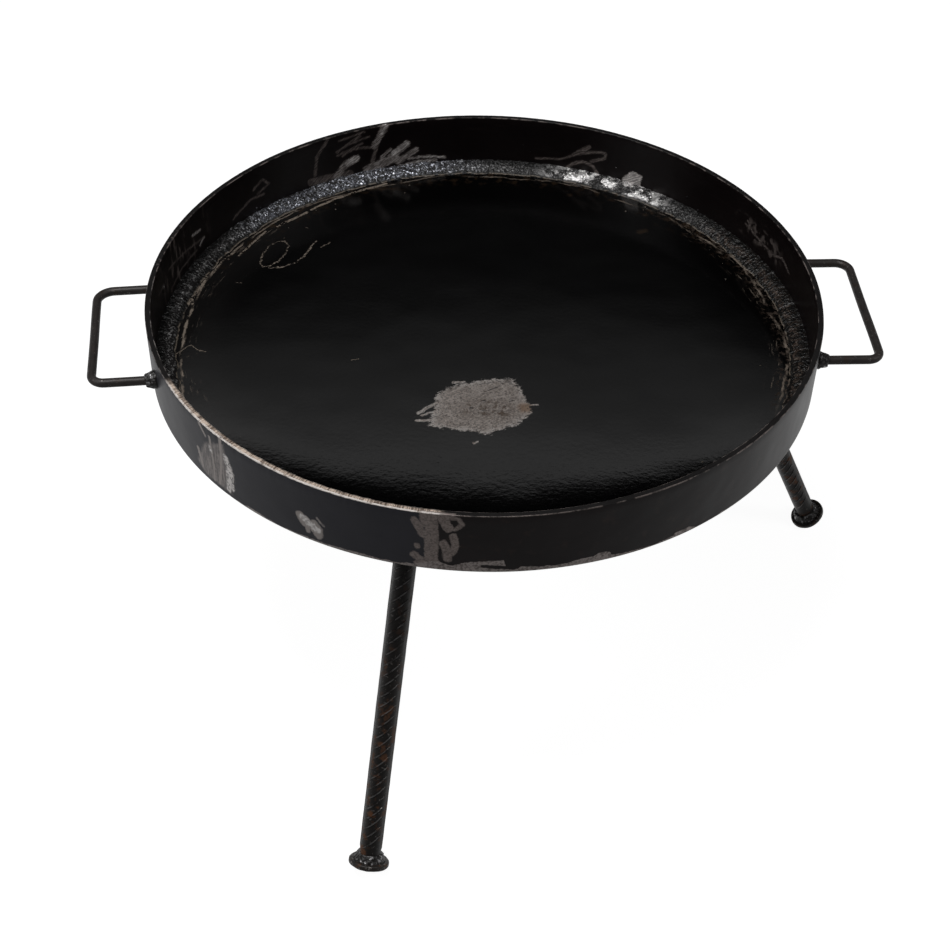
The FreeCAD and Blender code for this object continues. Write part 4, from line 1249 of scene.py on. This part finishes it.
def build_handle_weld(side, end, azimuth, width, sign):
    half = width / 2
    face = math.sqrt(WALL * WALL - half * half)
    front = end == "front"
    shape = collar(ROD, ROD + 3.6 * MM, ROD + 0.9 * MM, (8.5 if front else 7) * MM)
    upward = Vector((-1, 0, 0)) if front else Vector((1, 0, 0))
    lump(shape, ROD, 9, 1.3 * MM, azimuth, upward)
    tangent = math.asin(sign * half / WALL)
    stand = Matrix.Rotation(math.radians(90), 4, "Y")
    turn = Matrix.Rotation(tangent * 0.6, 4, "Z")
    place = (
        Matrix.Translation((0, 0, HANDLE_HEIGHT))
        @ Matrix.Rotation(math.radians(azimuth), 4, "Z")
        @ Matrix.Translation((face, sign * half, 0))
        @ turn
        @ stand
    )
    bmesh.ops.transform(shape, verts=shape.verts, matrix=place)
    node = f"{side}_handle_{end}_weld"
    put_up(shape, f"{side}_rod_{end}_weld", WELD_STEEL, "weld_metal", node, crease=70)


# ---------------------------------------------------------------- legs


def leg_place(azimuth, tilt, along=0.0):
    """Where a foot's centre is, with Z leaning inwards by tilt; along moves it up Z."""
    return (
        Matrix.Rotation(math.radians(azimuth), 4, "Z")
        @ Matrix.Translation((FOOT_OUT, 0, FOOT_UP))
        @ Matrix.Rotation(-tilt, 4, "Y")
        @ Matrix.Translation((0, 0, along))
    )


def cross_rib():
    """Crescent rib over half the bar, slanting at 45 degrees, buried at its ends."""
    shape = bmesh.new()
    crest = BAR + 0.85 * MM
    buried = BAR - 0.8 * MM
    corners = [(buried, -1.35), (crest, -0.5), (crest, 0.5), (buried, 1.35)]
    spots = [shape.verts.new((radius, 0, height * MM)) for radius, height in corners]
    for pair in zip(spots, spots[1:]):
        shape.edges.new(pair)
    reach = math.radians(74)
    turn_all(shape, shape.verts, -reach)
    bmesh.ops.spin(
        shape,
        geom=shape.verts[:] + shape.edges[:],
        cent=(0, 0, 0),
        axis=(0, 0, 1),
        angle=2 * reach,
        steps=11,
        use_merge=False,
    )
    for vert in shape.verts:
        angle = math.atan2(vert.co.y, vert.co.x)
        out = Vector((vert.co.x, vert.co.y, 0)).normalized()
        height_here = math.hypot(vert.co.x, vert.co.y) - buried
        fade = max(0.0, math.cos(angle / reach * math.pi / 2)) ** 0.6
        vert.co -= out * height_here * (1 - fade)
        vert.co.z += math.sin(angle) * BAR
    return shape


def all_cross_ribs(spin):
    """Two rows of crescent ribs, half a pitch apart, each over its own half of the bar."""
    row = cross_rib()
    one = len(row.verts)
    for _ in range(RIB_COUNT - 1):
        row.verts.ensure_lookup_table()
        last = set(row.verts[-one:])
        geom = list(last)
        geom += [edge for edge in row.edges if edge.verts[0] in last]
        geom += [face for face in row.faces if face.verts[0] in last]
        made = bmesh.ops.duplicate(row, geom=geom)["geom"]
        verts = [part for part in made if isinstance(part, bmesh.types.BMVert)]
        bmesh.ops.translate(row, verts=verts, vec=(0, 0, RIB_PITCH))
    verts = copied(row)
    turn_all(row, verts, math.pi)
    bmesh.ops.translate(row, verts=verts, vec=(0, 0, RIB_PITCH / 2))
    turn_all(row, row.verts, spin)
    start = (LEG_LENGTH - (RIB_COUNT - 1) * RIB_PITCH) / 2
    bmesh.ops.translate(row, verts=row.verts, vec=(0, 0, start))
    return row


def build_leg(name, azimuth, spin):
    """Ribbed bar from the foot disc up to the floor plate, cut level at its top."""
    shape = bmesh.new()
    ring = bmesh.ops.create_circle(shape, segments=40, radius=BAR)["verts"]
    bmesh.ops.translate(shape, verts=ring, vec=(0, 0, -1 * MM))
    edges = shape.edges[:]
    reach = LEG_LENGTH + 12 * MM
    steps = 84
    for _ in range(steps):
        edges = extrude_run(shape, edges, (0, 0, reach / steps))
    for vert in shape.verts:
        out = Vector((vert.co.x, vert.co.y, 0)).normalized()
        angle = math.atan2(vert.co.y, vert.co.x) - spin
        ridge = max(0.0, abs(math.sin(angle)) - 0.985) / 0.015
        ribbed = ramp_up(vert.co.z, 12 * MM, 15 * MM)
        ribbed *= 1 - ramp_up(vert.co.z, LEG_LENGTH - 16 * MM, LEG_LENGTH - 12 * MM)
        vert.co += out * MM * (0.75 * ridge * ribbed + 0.16 * jitter(vert.co, 0.012, 5.0))
    ends = [edge for edge in shape.edges if edge.is_boundary]
    bmesh.ops.holes_fill(shape, edges=ends, sides=0)
    take_in(shape, all_cross_ribs(spin))
    bmesh.ops.transform(shape, verts=shape.verts, matrix=leg_place(azimuth, LEAN))
    cut = bmesh.ops.bisect_plane(
        shape,
        geom=shape.verts[:] + shape.edges[:] + shape.faces[:],
        dist=1e-6,
        plane_co=(0, 0, BASE),
        plane_no=(0, 0, 1),
        clear_outer=True,
    )
    rim = [part for part in cut["geom_cut"] if isinstance(part, bmesh.types.BMEdge)]
    bmesh.ops.holes_fill(shape, edges=rim, sides=0)
    put_up(shape, f"{name}_bar", BAR_SCALE, "ribbed_bar", f"{name}_leg", crease=42)


def build_foot(name, azimuth):
    """Thick disc with worn edges, slightly dished by hammering."""
    shape = turned(
        [
            (0, -FOOT_THICKNESS / 2),
            (FOOT_RADIUS, -FOOT_THICKNESS / 2),
            (FOOT_RADIUS, FOOT_THICKNESS / 2),
            (0, FOOT_THICKNESS / 2),
        ],
        steps=72,
        closed=False,
        rounded=[(1, 1.5 * MM, 4), (2, 1.5 * MM, 4)],
        divided=[(0, 7), (1, 2), (2, 7)],
    )
    for vert in shape.verts:
        place = vert.co
        spread = math.hypot(place.x, place.y) / FOOT_RADIUS
        dent = 0.35 * jitter(place, 0.010, azimuth) + 0.18 * jitter(place, 0.004, azimuth + 2)
        place.z += spread * dent * MM
        if spread > 0.8:
            out = Vector((place.x, place.y, 0)).normalized()
            place += out * MM * (0.35 * jitter(place, 0.012, azimuth + 5) - 0.2)
    bmesh.ops.transform(shape, verts=shape.verts, matrix=leg_place(azimuth, FOOT_TILT))
    for vert in shape.verts:
        vert.co.z = max(vert.co.z, 0.0)
    put_up(shape, f"{name}_disc", FOOT_SCALE, "foot_steel", f"{name}_foot", crease=60)


def build_foot_weld(name, azimuth):
    shape = collar(BAR, BAR + 4.6 * MM, BAR + 1.2 * MM, 6.5 * MM, steps=84)
    lump(shape, BAR, 13, 1.5 * MM, azimuth)
    place = leg_place(azimuth, FOOT_TILT, 2.4 * MM)
    bmesh.ops.transform(shape, verts=shape.verts, matrix=place)
    put_up(shape, f"{name}_disc_weld", WELD_STEEL, "weld_metal", f"{name}_foot_weld", crease=70)


def build_leg_weld(name, azimuth):
    shape = collar(BAR, BAR + 6.5 * MM, BAR + 2.0 * MM, 6 * MM, steps=84)
    lump(shape, BAR, 12, 1.4 * MM, azimuth + 9)
    place = (
        Matrix.Rotation(math.radians(azimuth), 4, "Z")
        @ Matrix.Translation((LEG_TOP, 0, BASE))
        @ Matrix.Rotation(math.pi, 4, "Y")
    )
    shear = Matrix.Identity(4)
    shear[0][2] = -math.tan(LEAN)
    bmesh.ops.transform(shape, verts=shape.verts, matrix=shear)
    bmesh.ops.transform(shape, verts=shape.verts, matrix=place)
    put_up(shape, f"{name}_bar_weld", WELD_STEEL, "weld_metal", f"{name}_leg_weld", crease=70)


build_floor()
build_wall()
build_seam()
build_corner_weld()
build_bead()
for side, (azimuth, width) in HANDLES.items():
    build_handle(side, azimuth, width, BENDS[side])
    for end in ("front", "back"):
        toward_front = -1 if side == "right" else 1
        sign = toward_front if end == "front" else -toward_front
        build_handle_weld(side, end, azimuth, width, sign)
for name, azimuth in LEGS.items():
    build_leg(name, azimuth, SPINS[name])
    build_leg_weld(name, azimuth)
    build_foot(name, azimuth)
    build_foot_weld(name, azimuth)


# ---------------------------------------------------------------- studio


def pale_surface():
    """Plain grey that also gives off light, so that the floor shows pale."""
    material = bpy.data.materials.new("pale_floor")
    material.use_nodes = True
    shader = material.node_tree.nodes["Principled BSDF"]
    shader.inputs["Base Color"].default_value = (0.35, 0.35, 0.35, 1)
    shader.inputs["Roughness"].default_value = 0.9
    shader.inputs["Specular IOR Level"].default_value = 0.0
    shader.inputs["Emission Color"].default_value = (1, 1, 1, 1)
    shader.inputs["Emission Strength"].default_value = 0.95
    return material


def build_studio():
    """Round pale floor that curves up into a low backdrop all round."""
    shape = bmesh.new()
    corners = [(0, 0), (3.2, 0), (4.4, 0), (4.4, 1.5)]
    spots = [shape.verts.new((radius, 0, height)) for radius, height in corners]
    for pair in zip(spots, spots[1:]):
        shape.edges.new(pair)
    bmesh.ops.bevel(
        shape, geom=[spots[2]], offset=1.0, segments=12, profile=0.5, affect="VERTICES", material=-1
    )
    bmesh.ops.spin(
        shape,
        geom=shape.verts[:] + shape.edges[:],
        cent=(0, 0, 0),
        axis=(0, 0, 1),
        angle=2 * math.pi,
        steps=96,
        use_merge=True,
    )
    bmesh.ops.remove_doubles(shape, verts=shape.verts, dist=1e-5)
    bmesh.ops.recalc_face_normals(shape, faces=shape.faces)
    bmesh.ops.reverse_faces(shape, faces=[f for f in shape.faces if f.normal.z < -0.5])
    mesh = bpy.data.meshes.new("studio_floor")
    shape.to_mesh(mesh)
    shape.free()
    mesh.shade_smooth()
    mesh.materials.append(pale_surface())
    floor = bpy.data.objects.new("studio_floor", mesh)
    floor.visible_glossy = False
    floor.visible_diffuse = False
    scene.collection.objects.link(floor)


def area_light(name, place, target, size, power):
    data = bpy.data.lights.new(name, "AREA")
    data.shape = "RECTANGLE"
    data.size = size[0]
    data.size_y = size[1]
    data.energy = power
    light = bpy.data.objects.new(name, data)
    light.location = place
    direction = Vector(target) - Vector(place)
    light.rotation_euler = direction.to_track_quat("-Z", "Y").to_euler()
    scene.collection.objects.link(light)


build_studio()
area_light("top_softbox", (-0.5, -0.3, 2.5), (0, 0, 0.3), (1.0, 0.7), 22)
area_light("left_softbox", (-2.2, -1.2, 1.9), (0, 0, 0.2), (1.0, 1.0), 10)
area_light("right_softbox", (2.3, -0.6, 1.9), (0, 0, 0.2), (0.8, 1.0), 8)


def studio_air():
    """The dim room round the pan, which the dark plate mirrors.

    Its levels go by the sine of the height above the horizon. The pale band at 42 degrees is what the plate
    shows along its front, and the lower half is up to four times as bright at the back as at the front.
    """
    world = bpy.data.worlds.new("studio_air")
    world.use_nodes = True
    nodes = world.node_tree.nodes
    links = world.node_tree.links
    direction = nodes.new("ShaderNodeTexCoord").outputs["Generated"]
    split = nodes.new("ShaderNodeSeparateXYZ")
    links.new(direction, split.inputs["Vector"])
    share = nodes.new("ShaderNodeMapRange")
    links.new(split.outputs["Z"], share.inputs["Value"])
    share.inputs["From Min"].default_value = -1.0
    fade = nodes.new("ShaderNodeValToRGB")
    levels = [
        (-1.0, 0.16), (-0.10, 0.18), (0.08, 0.05), (0.40, 0.004), (0.55, 0.004), (0.575, 0.02),
        (0.59, 0.055), (0.603, 0.14), (0.636, 0.23), (0.66, 0.50), (0.672, 0.58), (0.6765, 0.004),
        (1.0, 0.004),
    ]
    stops = [((sine + 1) / 2, level) for sine, level in levels]
    while len(fade.color_ramp.elements) < len(stops):
        fade.color_ramp.elements.new(0.5)
    for element, (position, level) in zip(fade.color_ramp.elements, stops):
        element.position = position
        element.color = (level, level, level, 1)
    links.new(share.outputs["Result"], fade.inputs["Fac"])
    links.new(fade.outputs["Color"], nodes["Background"].inputs["Color"])
    behind = nodes.new("ShaderNodeMapRange")
    links.new(split.outputs["Y"], behind.inputs["Value"])
    behind.inputs["From Min"].default_value = -0.75
    behind.inputs["From Max"].default_value = 0.80
    behind.inputs["To Min"].default_value = 1.0
    behind.inputs["To Max"].default_value = 4.0
    below = nodes.new("ShaderNodeMapRange")
    links.new(split.outputs["Z"], below.inputs["Value"])
    below.inputs["From Min"].default_value = 0.10
    below.inputs["From Max"].default_value = -0.05
    strength = nodes.new("ShaderNodeMix")
    links.new(below.outputs["Result"], strength.inputs["Factor"])
    strength.inputs["A"].default_value = 1.0
    links.new(behind.outputs["Result"], strength.inputs["B"])
    links.new(strength.outputs["Result"], nodes["Background"].inputs["Strength"])
    scene.world = world


studio_air()

CAMERA_PLACE = (-0.00497, -1.21420, 1.23905)
LOOKING_DOWN = 41.955
CAMERA_ROLL = 1.2355

camera_data = bpy.data.cameras.new("camera")
camera_data.lens = 62.83
camera_data.sensor_width = 36
camera = bpy.data.objects.new("camera", camera_data)
camera.matrix_world = (
    Matrix.Translation(CAMERA_PLACE)
    @ Matrix.Rotation(math.radians(90 - LOOKING_DOWN), 4, "X")
    @ Matrix.Rotation(math.radians(CAMERA_ROLL), 4, "Z")
)
scene.collection.objects.link(camera)
scene.camera = camera
scene.view_settings.view_transform = "Standard"
scene.view_settings.look = "None"

bpy.context.view_layer.update()
